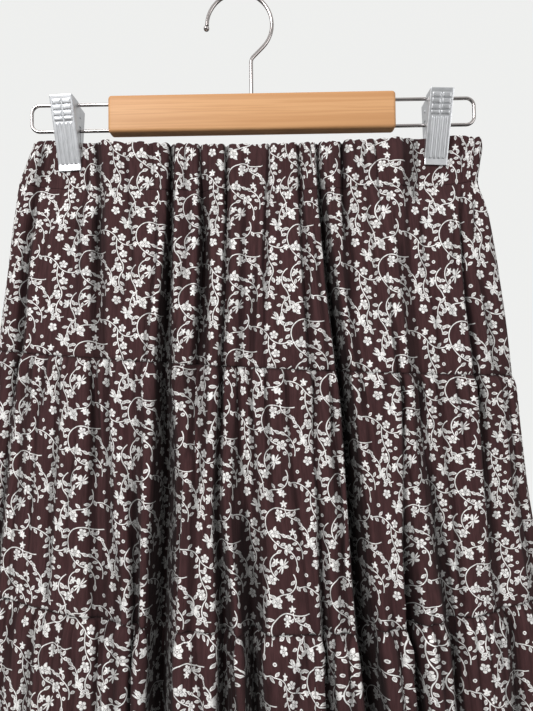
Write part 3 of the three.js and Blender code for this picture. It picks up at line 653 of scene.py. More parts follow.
def panel_grid(piece, side, columns, rows):
    """Points of one half of a cut piece, row by row, and each row's share of the way down."""
    towards = -1 if side == "front" else 1
    top_middle, bottom_middle = EDGES[piece["top"]][side][1], EDGES[piece["bottom"]][side][1]
    last = piece["gathers"] * COLUMNS_PER_GATHER
    knots = np.concatenate([[0.0], fold_columns(piece, side), [last]])
    place = np.linspace(0.0, last, columns + 1)
    steps = np.linspace(0.0, 1.0, rows + 1)
    downs = steps - ROW_CROWDING * np.sin(2 * np.pi * steps) / (2 * np.pi)
    points = []
    for down in downs:
        level = mix(top_middle, bottom_middle, down)
        row = plan(side, level)
        places = np.concatenate([[0.0], row["marks"], [row["lengths"][-1]]])
        want = np.interp(place, knots, places)
        x, y, held = (np.interp(want, row["lengths"], row[key]) for key in ("x", "y", "held"))
        nx, ny = plan_normal(x, y, towards)
        facing = ease(*FACING, np.abs(ny))
        free = facing * (1 - held) * ease(0.0, GATHER_ROOM, np.abs(y))
        out = relief(piece, side, place, down, free)
        half = (section_size("left", level) + section_size("right", level)) / 2
        top = edge_height(piece["top"], side, x / half)
        if piece["top"] == "waist":
            frill = ridges(place / COLUMNS_PER_GATHER * PLEATS_PER_GATHER, SEEDS["frill"])
            top = top + RUFFLE_HIGH * frill * (1 - held)
        bottom = edge_height(piece["bottom"], side, x / half)
        points.append(np.stack([x + nx * out, y + ny * out, mix(top, bottom, down)], axis=1))
    return downs, np.array(points)


def fold_shade_depth(points, towards, reach, slope, full, share):
    """How deep each point lies between the ridges within reach, from 0 on them to the full share: the
    amount of painted shade.
    """
    out = towards * points[:, :, 1]
    ridge = out.copy()
    x = points[:, :, 0]
    for shift in range(1, reach + 1):
        left, right = slice(None, -shift), slice(shift, None)
        for ahead, behind in ((right, left), (left, right)):
            beside = np.abs(x[:, ahead] - x[:, behind])
            ridge[:, ahead] = np.maximum(ridge[:, ahead], out[:, behind] - slope * beside)
    across = np.abs(x - x.mean(axis=1, keepdims=True)) / (np.ptp(x, axis=1)[:, None] / 2)
    return share * np.clip((ridge - out) / full, 0.0, 1.0) * (1.0 - ease(SHADE_SIDE_FADE, 1.0, across))


def print_widths(piece, side, points):
    """The cloth's developed width up to each column, so that the print isn't stretched in the folds."""
    if piece["like"] != piece["name"]:
        shared = next(p for p in PIECES if p["name"] == piece["like"])
        points = panel_grid(shared, side, points.shape[1] - 1, points.shape[0])[1]
    steps = np.linalg.norm(np.diff(points[:, :, :2], axis=1), axis=2).mean(axis=0)
    return np.concatenate([[0.0], np.cumsum(steps)])


def make_panel(piece, side):
    """One half of a cut piece as a thin shell in the place of its solid."""
    share = 1.0 if side == "front" else BACK_SHARE
    columns, rows = round(piece["columns"] * share), round(piece["rows"] * share)
    downs, points = panel_grid(piece, side, columns, rows)
    widths = print_widths(piece, side, points)
    shifted = points.reshape(-1, 3) + np.array([HANGER_ACROSS, 0.0, 0.0])
    corner = np.arange(rows)[:, None] * (columns + 1) + np.arange(columns)
    quads = np.stack([corner, corner + columns + 1, corner + columns + 2, corner + 1], axis=2)
    quads = quads.reshape(-1, 4)
    if side == "back":
        quads = quads[:, ::-1]
    name = f"{piece['name']}_{side}_cloth"
    mesh = bpy.data.meshes.new(name)
    mesh.from_pydata(shifted.tolist(), [], quads.tolist())
    heights = PRINT_TOP[piece["name"]] - downs * piece["cut"][1]
    u, v = np.meshgrid(widths + PRINT_ACROSS[piece["name"]][side], heights)
    flat = np.stack([u, v], axis=2).reshape(-1, 2)
    corners = np.zeros(len(mesh.loops), dtype=np.int32)
    mesh.loops.foreach_get("vertex_index", corners)
    layer = mesh.uv_layers.new(name=CLOTH_MAP)
    layer.uv.foreach_set("vector", flat[corners].astype(np.float32).ravel())
    towards = -1 if side == "front" else 1
    # Painted shade: cloth deep between ridges, and just below a seam, is painted darker through this
    # attribute
    deep_fold_shade = fold_shade_depth(points, towards, **SHADE_IN_FOLDS)
    painted_shade = np.maximum(deep_fold_shade, fold_shade_depth(points, towards, **SHADE_IN_PLEATS))
    if piece["top"] in ("seam_1", "seam_2"):
        # Painted shade just below the seam, put into the same attribute
        shade_under_seam = SEAM_SHADE * np.exp(-downs * piece["cut"][1] / SEAM_SHADE_HIGH)
        painted_shade = np.maximum(painted_shade, shade_under_seam[:, None])
    attribute = mesh.attributes.new(SHADE_ATTRIBUTE, "FLOAT", "POINT")
    attribute.data.foreach_set("value", painted_shade.astype(np.float32).ravel())
    mesh.shade_smooth()
    obj = bpy.data.objects.new(name, mesh)
    bpy.context.collection.objects.link(obj)
    apply_modifier(obj, "SOLIDIFY", thickness=piece["wall"], offset=0.0)
    obj.data.materials.append(material("printed crepe"))
    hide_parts(f"{piece['name']}_{side}")
    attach(obj, BODY)
    return obj


# Objects and modifiers


def deselect():
    bpy.ops.object.select_all(action="DESELECT")


def select_only(obj):
    deselect()
    obj.select_set(True)
    bpy.context.view_layer.objects.active = obj


def join(pieces):
    """Joins objects into the last one of them."""
    for piece in pieces:
        piece.select_set(True)
    bpy.context.view_layer.objects.active = pieces[-1]
    bpy.ops.object.join()
    return pieces[-1]


def apply_modifier(obj, kind, **settings):
    select_only(obj)
    modifier = obj.modifiers.new("step", kind)
    for key, value in settings.items():
        setattr(modifier, key, value)
    bpy.ops.object.modifier_apply(modifier="step")


def material(name):
    return bpy.data.materials[name]


# Modelling in edit mode


def edit_mode(on):
    bpy.ops.object.mode_set(mode="EDIT" if on else "OBJECT")


def pick(obj, kind, test):
    """Goes into edit mode with the faces, edges or points selected whose middle passes a test."""
    edit_mode(True)
    bpy.ops.mesh.select_mode(type=kind)
    bpy.ops.mesh.select_all(action="DESELECT")
    edit_mode(False)
    mesh = obj.data
    points = [v.co for v in mesh.vertices]
    if kind == "FACE":
        for face in mesh.polygons:
            face.select = test(face.center)
    elif kind == "EDGE":
        for edge in mesh.edges:
            first, second = (points[i] for i in edge.vertices)
            edge.select = test((first + second) / 2) and abs(first.x - second.x) < LIKE
    else:
        for vertex in mesh.vertices:
            vertex.select = test(vertex.co)
    edit_mode(True)


def push(x, y, z):
    bpy.ops.mesh.extrude_region_move(TRANSFORM_OT_translate={"value": (x, y, z)})


def turn_selected(angle, axis, centre):
    """Turns the selected points to the right-hand sense, which is the other one with no window."""
    bpy.ops.transform.rotate(value=-angle, orient_axis=axis, center_override=centre)


def spin_rod(degrees, x, z):
    """Carries the open end of a rod round a bend in the XZ plane, from +X towards +Z."""
    steps = max(FEWEST_BEND_STEPS, round(abs(degrees) / BEND_STEP))
    turn, centre = math.radians(degrees), (x, 0.0, z)
    bpy.ops.mesh.spin(steps=steps, angle=turn, center=centre, axis=(0.0, 1.0, 0.0))


def start_rod(radius, place, turn):
    deselect()
    bpy.ops.mesh.primitive_circle_add(
        vertices=ROD_SIDES, radius=radius, fill_type="NOTHING", location=place, rotation=turn
    )
    obj = bpy.context.active_object
    bpy.ops.object.transform_apply(location=True, rotation=True, scale=True)
    edit_mode(True)
    bpy.ops.mesh.select_all(action="SELECT")
    return obj


def finish_piece(obj, node, look, angle=ROD_SMOOTH):
    """Closes a finished piece: outward faces, smooth shading, material, and its place in the frame."""
    edit_mode(True)
    bpy.ops.mesh.select_all(action="SELECT")
    bpy.ops.mesh.remove_doubles(threshold=LIKE / 10)
    bpy.ops.mesh.normals_make_consistent(inside=False)
    edit_mode(False)
    select_only(obj)
    bpy.ops.object.shade_smooth_by_angle(angle=angle)
    obj.name = f"{node}_finished"
    obj.data.materials.clear()
    obj.data.materials.append(material(look))
    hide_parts(node)
    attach(obj, BODY)


def make_bar():
    """The flat wooden bar with softened edges and the wires' bores."""
    deselect()
    bpy.ops.mesh.primitive_cube_add(size=1.0, location=BAR_MIDDLE)
    bar = bpy.context.active_object
    bar.scale = BAR_HIGH - BAR_LOW
    bpy.ops.object.transform_apply(location=True, rotation=True, scale=True)
    edit_mode(True)
    bpy.ops.mesh.select_all(action="SELECT")
    bpy.ops.mesh.bevel(offset=BAR_EDGE, segments=BAR_EDGE_STEPS, affect="EDGES")
    edit_mode(False)
    deselect()
    bores = []
    for end in (BAR_LOW.x, BAR_HIGH.x):
        for height in WIRE_HEIGHTS:
            bpy.ops.mesh.primitive_cylinder_add(
                vertices=BORE_SIDES, radius=BORE_RADIUS, depth=2 * WIRE_IN_BAR,
                location=(end, 0.0, height), rotation=SIDEWAYS,
            )
            bores.append(bpy.context.active_object)
    drill = join(bores)
    apply_modifier(bar, "BOOLEAN", operation="DIFFERENCE", object=drill, solver="EXACT")
    bpy.data.objects.remove(drill)
    finish_piece(bar, "hanger_bar", "lacquered wood", BAR_SMOOTH)


def make_hook():
    """The stem, its bend to the right, the bow over the crown and the ball on its end."""
    stem = HANGER_ACROSS
    foot = BAR_HIGH.z - STEM_IN_BAR
    hook = start_rod(HOOK_RADIUS, (stem, 0.0, foot), (0.0, 0.0, 0.0))
    push(0.0, 0.0, STEM_TOP - foot)
    spin_rod(KNEE_TURN, stem + KNEE_RADIUS, STEM_TOP)
    push(STEM_SLANT * math.sqrt(0.5), 0.0, STEM_SLANT * math.sqrt(0.5))
    bow_x = stem + BOW_ACROSS
    spin_rod(BOW_TURN, bow_x, BOW_HEIGHT)
    edit_mode(False)
    end_x = bow_x - BOW_RADIUS
    bpy.ops.mesh.primitive_uv_sphere_add(
        segments=BALL_SIDES, ring_count=BALL_RINGS, radius=BALL_RADIUS,
        location=(end_x - BALL_OUT, 0.0, BOW_HEIGHT - BALL_RADIUS),
    )
    join([bpy.context.active_object, hook])
    finish_piece(hook, "hanger_hook", "plated wire")


def make_wire(side, towards):
    """One bent wire: out of the bar, round two corners and back into the bar."""
    upper, lower = WIRE_HEIGHTS
    half_bar = (BAR_HIGH.x - BAR_LOW.x) / 2
    start = half_bar - WIRE_IN_BAR
    corner = WIRE_OUTSIDE - WIRE_RADIUS - WIRE_BEND
    place = (HANGER_ACROSS + towards * start, 0.0, upper)
    wire = start_rod(WIRE_RADIUS, place, SIDEWAYS)
    corner_x = HANGER_ACROSS + towards * corner
    push(towards * (corner - start), 0.0, 0.0)
    spin_rod(-90.0 * towards, corner_x, upper - WIRE_BEND)
    push(0.0, 0.0, lower - upper + 2 * WIRE_BEND)
    spin_rod(-90.0 * towards, corner_x, lower + WIRE_BEND)
    push(towards * (start - corner), 0.0, 0.0)
    edit_mode(False)
    finish_piece(wire, f"wire_loop_{side}", "plated wire")


def make_plate(half_wide, columns, face):
    """An upright plate of small faces from the jaws' tip to the thumb end, facing one way."""
    deselect()
    middle = (PLATE_TOP + JAW_TIP) / 2
    bpy.ops.mesh.primitive_grid_add(
        x_subdivisions=columns, y_subdivisions=PLATE_ROWS, size=1.0,
        location=(0.0, face * JAW_AT, middle), rotation=(math.pi / 2, 0.0, 0.0),
    )
    plate = bpy.context.active_object
    plate.scale = (2 * half_wide, PLATE_TOP - JAW_TIP, 1.0)
    bpy.ops.object.transform_apply(location=True, rotation=True, scale=True)
    return plate


def emboss(plate, low_x, high_x, low_z, high_z, high):
    """Presses a raised cushion out of the front of a plate."""
    pick(plate, "FACE", lambda c: low_x < c.x < high_x and low_z < c.z < high_z)
    bpy.ops.mesh.inset(thickness=PRESS_EDGE, depth=0.0)
    bpy.ops.transform.translate(value=(0.0, -high, 0.0))
    edit_mode(False)


def lean_and_ears(plate, half_wide, face):
    """Leans the thumb end away from the wires, and folds the sides back to the wires and the pivot."""
    pick(plate, "VERT", lambda c: c.z > LEAN_FROM)
    turn_selected(-face * LEVER_LEAN, "X", (0.0, face * JAW_AT, LEAN_FROM))
    edit_mode(False)
    pick(plate, "EDGE", lambda c: abs(c.x) > half_wide - LIKE)
    push(0.0, -face * LIKE * 2, 0.0)
    bpy.ops.transform.resize(value=(1.0, 0.0, 1.0), center_override=(0.0, face * EAR_CLEAR, 0.0))
    edit_mode(False)
    between = (WIRE_HEIGHTS[1] + TAB_GAP, WIRE_HEIGHTS[0] - TAB_GAP)
    pick(
        plate, "EDGE",
        lambda c: abs(c.x) > half_wide - LIKE and abs(c.y - face * EAR_CLEAR) < LIKE / 4
        and between[0] < c.z < between[1],
    )
    push(0.0, -face * (EAR_CLEAR + PIVOT_RADIUS), 0.0)
    edit_mode(False)


def place_lever(lever, towards, node):
    """Gives a lever its thickness, leans it about the pivot and sets it on the wires."""
    apply_modifier(lever, "SOLIDIFY", thickness=CLIP_SHEET, offset=0.0)
    apply_modifier(lever, "BEVEL", width=CLIP_EDGE, segments=CLIP_EDGE_STEPS, limit_method="ANGLE")
    lean_on_wires(towards)
    finish_piece(lever, node, "zinc plate", CLIP_SMOOTH)


def lean_on_wires(towards):
    """Leans the active object about the pivot as the clips hang, and slides it along the wires."""
    edit_mode(True)
    bpy.ops.mesh.select_all(action="SELECT")
    turn_selected(towards * CLIP_LEAN, "Y", (0.0, 0.0, PIVOT_HEIGHT))
    bpy.ops.transform.translate(value=(HANGER_ACROSS + towards * CLIP_ACROSS, 0.0, 0.0))
    edit_mode(False)


def make_clip(side, towards):
    """Both levers of a clip, pressed from sheet, and the coiled spring on its pin."""
    front = make_plate(FRONT_HALF, FRONT_COLUMNS, -1.0)
    for row in range(GRIP_ROWS):
        top = PLATE_TOP - GRIP_FROM - row * GRIP_PITCH
        for hand in (-1.0, 1.0):
            edges = sorted((hand * GRIP_INNER, hand * GRIP_OUTER))
            emboss(front, *edges, top - GRIP_TALL, top, GRIP_HIGH)
    for middle in FLUTES_ACROSS:
        emboss(front, middle - FLUTE_HALF, middle + FLUTE_HALF, FLUTE_END, FLUTE_TOP, FLUTE_HIGH)
    lean_and_ears(front, FRONT_HALF, -1.0)
    place_lever(front, towards, f"clip_{side}_front")
    back = make_plate(BACK_HALF, BACK_COLUMNS, 1.0)
    lean_and_ears(back, BACK_HALF, 1.0)
    place_lever(back, towards, f"clip_{side}_back")
    deselect()
    bpy.ops.mesh.primitive_cylinder_add(
        vertices=PIN_SIDES, radius=PIN_RADIUS, depth=2 * FRONT_HALF + 2 * CLIP_SHEET,
        location=(0.0, 0.0, PIVOT_HEIGHT), rotation=SIDEWAYS,
    )
    coils = [bpy.context.active_object]
    for i in range(COILS):
        bpy.ops.mesh.primitive_torus_add(
            major_segments=COIL_SIDES, minor_segments=COIL_WIRE_SIDES, major_radius=COIL_RADIUS,
            minor_radius=COIL_WIRE, location=((i - (COILS - 1) / 2) * COIL_PITCH, 0.0, PIVOT_HEIGHT),
            rotation=SIDEWAYS,
        )
        coils.append(bpy.context.active_object)
    spring = join(coils)
    bpy.ops.object.transform_apply(location=True, rotation=True, scale=True)
    lean_on_wires(towards)
    finish_piece(spring, f"clip_{side}_pivot", "zinc plate")


# Shader nodes


def put(tree, kind, inputs=(), **settings):
    """Adds a node, sets its properties and fills its inputs with values or links."""
    node = tree.nodes.new(kind)
    for key, value in settings.items():
        setattr(node, key, value)
    pairs = inputs.items() if isinstance(inputs, dict) else enumerate(inputs)
    for key, value in pairs:
        if isinstance(value, bpy.types.NodeSocket):
            tree.links.new(value, node.inputs[key])
        elif value is not None:
            node.inputs[key].default_value = value
    return node


def math_of(tree, operation, *values):
    return put(tree, "ShaderNodeMath", values, operation=operation).outputs[0]


def vector_of(tree, operation, *values):
    node = put(tree, "ShaderNodeVectorMath", values, operation=operation)
    return node.outputs["Value" if operation in ("LENGTH", "DOT_PRODUCT") else "Vector"]


def ramp_between(tree, value, low, high, start=0.0, end=1.0):
    inputs = (value, low, high, start, end)
    return put(tree, "ShaderNodeMapRange", inputs, interpolation_type="SMOOTHSTEP").outputs[0]


def blend_values(tree, share, first, second):
    return put(tree, "ShaderNodeMix", {0: share, 2: first, 3: second}).outputs[0]


def blend_vectors(tree, share, first, second):
    inputs = {0: share, 4: first, 5: second}
    return put(tree, "ShaderNodeMix", inputs, data_type="VECTOR").outputs[1]


def blend_colours(tree, share, first, second):
    inputs = {0: share, 6: first, 7: second}
    return put(tree, "ShaderNodeMix", inputs, data_type="RGBA").outputs[2]


def scaled(tree, vector, scale):
    inputs = {"Vector": vector, "Scale": scale}
    return put(tree, "ShaderNodeVectorMath", inputs, operation="SCALE").outputs[0]


def stretched_noise(tree, place, scales, detail):
    """Noise on a place that is scaled by three numbers first."""
    at = put(tree, "ShaderNodeMapping", {"Vector": place, "Scale": scales}).outputs[0]
    return put(tree, "ShaderNodeTexNoise", {"Vector": at, "Scale": 1.0, "Detail": detail}).outputs[0]


def new_material(name, finish):
    """A new material's nodes and its shader, with the values of its finish set."""
    made = bpy.data.materials.new(name)
    made.use_nodes = True
    shader = made.node_tree.nodes["Principled BSDF"]
    for key, value in finish.items():
        shader.inputs[key].default_value = value
    return made.node_tree, shader


# The print


def bends_of(scroll):
    """Centre, radius, start angle and turn of each bend of a vine."""
    (x, y), heading, bends = SCROLLS[scroll]
    heading = math.radians(heading)
    found = []
    for radius, degrees in bends:
        turn = math.radians(degrees)
        hand = math.copysign(1.0, turn)
        centre = (x - hand * radius * math.sin(heading), y + hand * radius * math.cos(heading))
        found.append((centre, radius, heading - hand * math.pi / 2, turn))
        heading += turn
        x = centre[0] + hand * radius * math.sin(heading)
        y = centre[1] - hand * radius * math.cos(heading)
    return found


def place_on(scroll, distance):
    """The place and the heading at a distance along a vine."""
    bends = bends_of(scroll)
    for bend in bends:
        centre, radius, start, turn = bend
        length = radius * abs(turn)
        if distance <= length or bend is bends[-1]:
            angle = start + turn * min(distance / length, 1.0)
            x = centre[0] + radius * math.cos(angle)
            y = centre[1] + radius * math.sin(angle)
            return x, y, angle + math.copysign(math.pi / 2, turn)
        distance -= length


def motifs_of(kind):
    """Place, turn and size of all motifs of one kind in the repeat."""
    found = []
    for at, degrees, half_long, half_wide, shape in LOOSE_MOTIFS:
        if shape == kind:
            found.append((at, math.radians(degrees), (half_long, half_wide)))
    for scroll, first, last, pitch, length, shape, side in SPRAYS:
        if shape != kind:
            continue
        for i in range(math.floor((last - first) / pitch + PITCH_ROOM) + 1):
            x, y, heading = place_on(scroll, first + i * pitch)
            hand = side or (1 if i % 2 else -1)
            turn = heading + hand * (LEAF_ANGLE if kind == "leaf" else FLOWER_ANGLE)
            reach = STALK + length / 2
            at = (x + reach * math.cos(turn), y + reach * math.sin(turn))
            found.append((at, turn, (length / 2, length * (LEAF_SLIM if kind == "leaf" else 0.5))))
    if kind == "leaf":
        for scroll in SCROLLS:
            x, y, heading = place_on(scroll, math.inf)
            at = (x + END_LEAF[0] * math.cos(heading), y + END_LEAF[0] * math.sin(heading))
            found.append((at, heading, END_LEAF))
    return found


def in_repeat(low, high):
    """The moves by whole repeats that bring some of a motif's box into the charted repeat."""
    moves = []
    for column in REPEATS_AROUND:
        across, drop = column * PRINT_WIDE, column * PRINT_DROP
        for lift in REPEATS_AROUND:
            up = drop + lift * PRINT_HIGH
            shows_across = high[0] + across > 0 and low[0] + across < PRINT_WIDE
            shows_up = high[1] + up > 0 and low[1] + up < PRINT_HIGH
            if shows_across and shows_up:
                moves.append((across, up))
    return moves


def charted_place(tree, cloth):
    """The place on the cloth, moved into the charted repeat."""
    charted = scaled(tree, cloth, 1.0 / PRINT_SCALE)
    parts = put(tree, "ShaderNodeSeparateXYZ", (charted,)).outputs
    column = math_of(tree, "FLOOR", math_of(tree, "DIVIDE", parts[0], PRINT_WIDE))
    across = math_of(tree, "MULTIPLY_ADD", column, -PRINT_WIDE, parts[0])
    up = math_of(tree, "MULTIPLY_ADD", column, -PRINT_DROP, parts[1])
    repeat = math_of(tree, "FLOOR", math_of(tree, "DIVIDE", up, PRINT_HIGH))
    up = math_of(tree, "MULTIPLY_ADD", repeat, -PRINT_HIGH, up)
    return put(tree, "ShaderNodeCombineXYZ", (across, up, 0.0)).outputs[0]


def turned_place(tree, place, turn):
    """The place seen from axes that are turned by an angle."""
    ahead = vector_of(tree, "DOT_PRODUCT", place, (math.cos(turn), math.sin(turn), 0.0))
    aside = vector_of(tree, "DOT_PRODUCT", place, (-math.sin(turn), math.cos(turn), 0.0))
    return put(tree, "ShaderNodeCombineXYZ", (ahead, aside, 0.0)).outputs[0]


def nearest_motif(tree, place, kind):
    """The place and the distance from the middle of the nearest motif, in its half sizes."""
    best, best_far = (FAR_OFF, FAR_OFF, 0.0), FAR_OFF
    turned = {}
    for at, turn, charted in motifs_of(kind):
        size = (charted[0] * MOTIF_SHARE, charted[1] * MOTIF_SHARE)
        step = round(turn / TURN_STEP)
        turn = step * TURN_STEP
        if step not in turned:
            turned[step] = turned_place(tree, place, turn)
        reach = max(size) + PRINT_REACH
        low, high = (at[0] - reach, at[1] - reach), (at[0] + reach, at[1] + reach)
        for across, up in in_repeat(low, high):
            x, y = at[0] + across, at[1] + up
            ahead = x * math.cos(turn) + y * math.sin(turn)
            aside = y * math.cos(turn) - x * math.sin(turn)
            scale = (1.0 / size[0], 1.0 / size[1], 1.0)
            shift = (-ahead / size[0], -aside / size[1], 0.0)
            local = vector_of(tree, "MULTIPLY_ADD", turned[step], scale, shift)
            far = vector_of(tree, "LENGTH", local)
            closer = math_of(tree, "LESS_THAN", far, best_far)
            best = blend_vectors(tree, closer, best, local)
            best_far = math_of(tree, "MINIMUM", far, best_far)
    return best, best_far


def nearest_round(tree, place, kind):
    """The distance and the angle from the middle of the nearest round motif."""
    local, far = nearest_motif(tree, place, kind)
    parts = put(tree, "ShaderNodeSeparateXYZ", (local,)).outputs
    return far, math_of(tree, "ARCTAN2", parts[1], parts[0])


def vine_print(tree, place):
    """Mask of the vines, each bend a part of a ring."""
    best = FAR_OFF
    for scroll in SCROLLS:
        for centre, radius, start, turn in bends_of(scroll):
            angles = [start + turn * step / BEND_POINTS for step in range(BEND_POINTS + 1)]
            xs = [centre[0] + radius * math.cos(angle) for angle in angles]
            ys = [centre[1] + radius * math.sin(angle) for angle in angles]
            low = (min(xs) - 2 * VINE_HALF, min(ys) - 2 * VINE_HALF)
            high = (max(xs) + 2 * VINE_HALF, max(ys) + 2 * VINE_HALF)
            middle = start + turn / 2
            towards = (math.cos(middle), math.sin(middle), 0.0)
            for across, up in in_repeat(low, high):
                scale = (1.0 / radius, 1.0 / radius, 1.0)
                shift = (-(centre[0] + across) / radius, -(centre[1] + up) / radius, 0.0)
                local = vector_of(tree, "MULTIPLY_ADD", place, scale, shift)
                far = vector_of(tree, "LENGTH", local)
                beside = math_of(tree, "ABSOLUTE", math_of(tree, "SUBTRACT", far, 1.0))
                ahead = vector_of(tree, "DOT_PRODUCT", local, towards)
                chord = math_of(tree, "MULTIPLY", far, math.cos(turn / 2))
                past = math_of(tree, "SUBTRACT", chord, ahead)
                away = math_of(tree, "MULTIPLY", math_of(tree, "MAXIMUM", beside, past), radius)
                best = math_of(tree, "MINIMUM", best, away)
    mask = ramp_between(tree, best, VINE_HALF - SOFT_EDGE, VINE_HALF + SOFT_EDGE, 1.0, 0.0)
    return mask, 1.0


def within(tree, value, limit, soft=UNIT_SOFT):
    """1 where a value is below a limit, with a soft edge."""
    return ramp_between(tree, math_of(tree, "SUBTRACT", value, limit), -soft, soft, 1.0, 0.0)


def leaf_print(tree, place):
    """Mask and tone of the leaves: a pale outline and vein around a greyer inside."""
    parts = put(tree, "ShaderNodeSeparateXYZ", (nearest_motif(tree, place, "leaf")[0],)).outputs
    slim = math_of(tree, "ABSOLUTE", parts[1])
    outline = math_of(tree, "MULTIPLY_ADD", parts[0], parts[0], slim)
    inside = within(tree, outline, LEAF["inside"])
    vein = within(tree, slim, LEAF["vein"])
    tone = blend_values(tree, inside, 1.0, blend_values(tree, vein, *LEAF["tones"]))
    return within(tree, outline, 1.0), tone


def flower_print(tree, place):
    """Mask and tone of the five-petalled flowers with their dark eye and petal lines."""
    far, angle = nearest_round(tree, place, "flower")
    half_turns = math_of(tree, "MULTIPLY", angle, FLOWER["petals"] / 2)
    lobe = math_of(tree, "ABSOLUTE", math_of(tree, "COSINE", half_turns))
    round_lobe = math_of(tree, "POWER", lobe, FLOWER["round"])
    edge = math_of(tree, "MULTIPLY_ADD", round_lobe, FLOWER["lobe"], 1.0 - FLOWER["lobe"])
    beside = math_of(tree, "ABSOLUTE", math_of(tree, "SUBTRACT", far, FLOWER["ring_at"]))
    outer = math_of(tree, "GREATER_THAN", far, FLOWER["gap_from"])
    gap = math_of(tree, "MULTIPLY", within(tree, lobe, FLOWER["gap"], FLOWER["gap_soft"]), outer)
    line = math_of(tree, "MAXIMUM", within(tree, beside, FLOWER["ring"]), gap)
    petals = blend_values(tree, line, 1.0, FLOWER["line_tone"])
    tone = blend_values(tree, within(tree, far, FLOWER["eye"]), petals, FLOWER["eye_tone"])
    return within(tree, far, edge), tone


def star_print(tree, place):
    """Mask and tone of the small stars."""
    far, angle = nearest_round(tree, place, "star")
    half_point = math.pi / STAR["points"]
    point = math_of(tree, "ABSOLUTE", math_of(tree, "WRAP", angle, half_point, -half_point))
    edge = math_of(tree, "MULTIPLY_ADD", point, -STAR["notch"] / half_point, 1.0)
    return within(tree, far, edge), 1.0


def blossom_print(tree, place):
    """Mask and tone of the large ragged blossoms."""
    far, angle = nearest_round(tree, place, "blossom")
    sway_angle = math_of(tree, "MULTIPLY_ADD", angle, BLOSSOM["sways"], BLOSSOM["sway_from"])
    sway = math_of(tree, "SINE", sway_angle)
    even = math_of(tree, "MULTIPLY", angle, BLOSSOM["petals"])
    petal = math_of(tree, "SINE", math_of(tree, "MULTIPLY_ADD", sway, BLOSSOM["sway"], even))
    edge = math_of(tree, "MULTIPLY_ADD", petal, BLOSSOM["lobe"], 1.0 - BLOSSOM["lobe"])
    outer = math_of(tree, "GREATER_THAN", far, BLOSSOM["gap_from"])
    gap = math_of(tree, "MULTIPLY", within(tree, petal, BLOSSOM["gap"], BLOSSOM["gap_soft"]), outer)
    line = math_of(tree, "MAXIMUM", gap, within(tree, far, BLOSSOM["eye"]))
    return within(tree, far, edge), blend_values(tree, line, 1.0, BLOSSOM["line_tone"])


def berry_print(tree, place):
    """Mask and tone of the berries."""
    far = nearest_motif(tree, place, "berry")[1]
    eye = within(tree, far, BERRY["eye"], BERRY["soft"])
    return within(tree, far, 1.0, BERRY["soft"]), blend_values(tree, eye, 1.0, BERRY["eye_tone"])


def print_group(name, shape):
    """A node group that gives the mask and the tone of one kind of motif at a place."""
    group = bpy.data.node_groups.new(name, "ShaderNodeTree")
    group.interface.new_socket("Place", in_out="INPUT", socket_type="NodeSocketVector")
    group.interface.new_socket("Mask", in_out="OUTPUT", socket_type="NodeSocketFloat")
    group.interface.new_socket("Tone", in_out="OUTPUT", socket_type="NodeSocketFloat")
    place = group.nodes.new("NodeGroupInput").outputs["Place"]
    mask, tone = shape(group, place)
    put(group, "NodeGroupOutput", (mask, tone))
    return group


def print_tone(tree, cloth):
    """How much of the pale print colour lies at each place of the cloth."""
    place = charted_place(tree, cloth)
    tone = 0.0
    shapes = {
        "vines": vine_print,
        "leaves": leaf_print,
        "berries": berry_print,
        "stars": star_print,
        "flowers": flower_print,
        "blossoms": blossom_print,
    }
    for name, shape in shapes.items():
        outputs = put(tree, "ShaderNodeGroup", {}, node_tree=print_group(name, shape)).outputs
        tree.links.new(place, outputs[0].node.inputs["Place"])
        tone = blend_values(tree, outputs["Mask"], tone, outputs["Tone"])
    return tone


# The materials


def crepe_material(look):
    """Printed crepe with a fine lengthwise crinkle, painted shade in its folds and below its seams, and
    painted shade and light that follow the crinkle.
    """
    tree, shader = new_material("printed crepe", CREPE_FINISH)
    cloth = put(tree, "ShaderNodeUVMap", uv_map=CLOTH_MAP).outputs[0]
    tone = print_tone(tree, cloth)
    crinkles = (stretched_noise(tree, cloth, scales, detail) for scales, detail in CRINKLES)
    crinkle = blend_values(tree, FINE_CRINKLE, *crinkles)
    blot_inputs = {"Vector": cloth, "Scale": BLOT_SCALE, "Detail": BLOT_DETAIL}
    blots = put(tree, "ShaderNodeTexNoise", blot_inputs).outputs[0]
    worn = math_of(tree, "MULTIPLY", tone, ramp_between(tree, blots, *BLOT_TONES))
    colour = blend_colours(tree, worn, tuple(look.ground), tuple(look.print_colour))
    # Painted shade from the attribute, times painted shade and light that follow the crinkle's bump
    # height
    painted_shade = put(tree, "ShaderNodeAttribute", attribute_name=SHADE_ATTRIBUTE).outputs["Fac"]
    fold_shade_factor = ramp_between(tree, painted_shade, *SHADE_TONES)
    shade = math_of(tree, "MULTIPLY", fold_shade_factor, ramp_between(tree, crinkle, *CRINKLE_SHADE_TONES))
    tree.links.new(scaled(tree, colour, shade), shader.inputs["Base Color"])
    bump = put(tree, "ShaderNodeBump", {"Strength": 1.0, "Distance": look.crinkle, "Height": crinkle})
    tree.links.new(bump.outputs[0], shader.inputs["Normal"])


def wood_material(look):
    tree, shader = new_material("lacquered wood", WOOD_FINISH)
    place = put(tree, "ShaderNodeTexCoord").outputs["Object"]
    fibres, broad = (stretched_noise(tree, place, scales, detail) for scales, detail in GRAINS)
    pale, deep = tuple(look.wood), tuple(c * s for c, s in zip(look.wood, DEEP_GRAIN))
    coarse = blend_colours(tree, ramp_between(tree, broad, *BROAD_RANGE), pale, deep)
    share = ramp_between(tree, fibres, *FIBRE_SHARES)
    tree.links.new(blend_colours(tree, share, coarse, deep), shader.inputs["Base Color"])
    bump_inputs = {"Strength": GRAIN_BUMP, "Distance": GRAIN_HIGH, "Height": fibres}
    tree.links.new(put(tree, "ShaderNodeBump", bump_inputs).outputs[0], shader.inputs["Normal"])


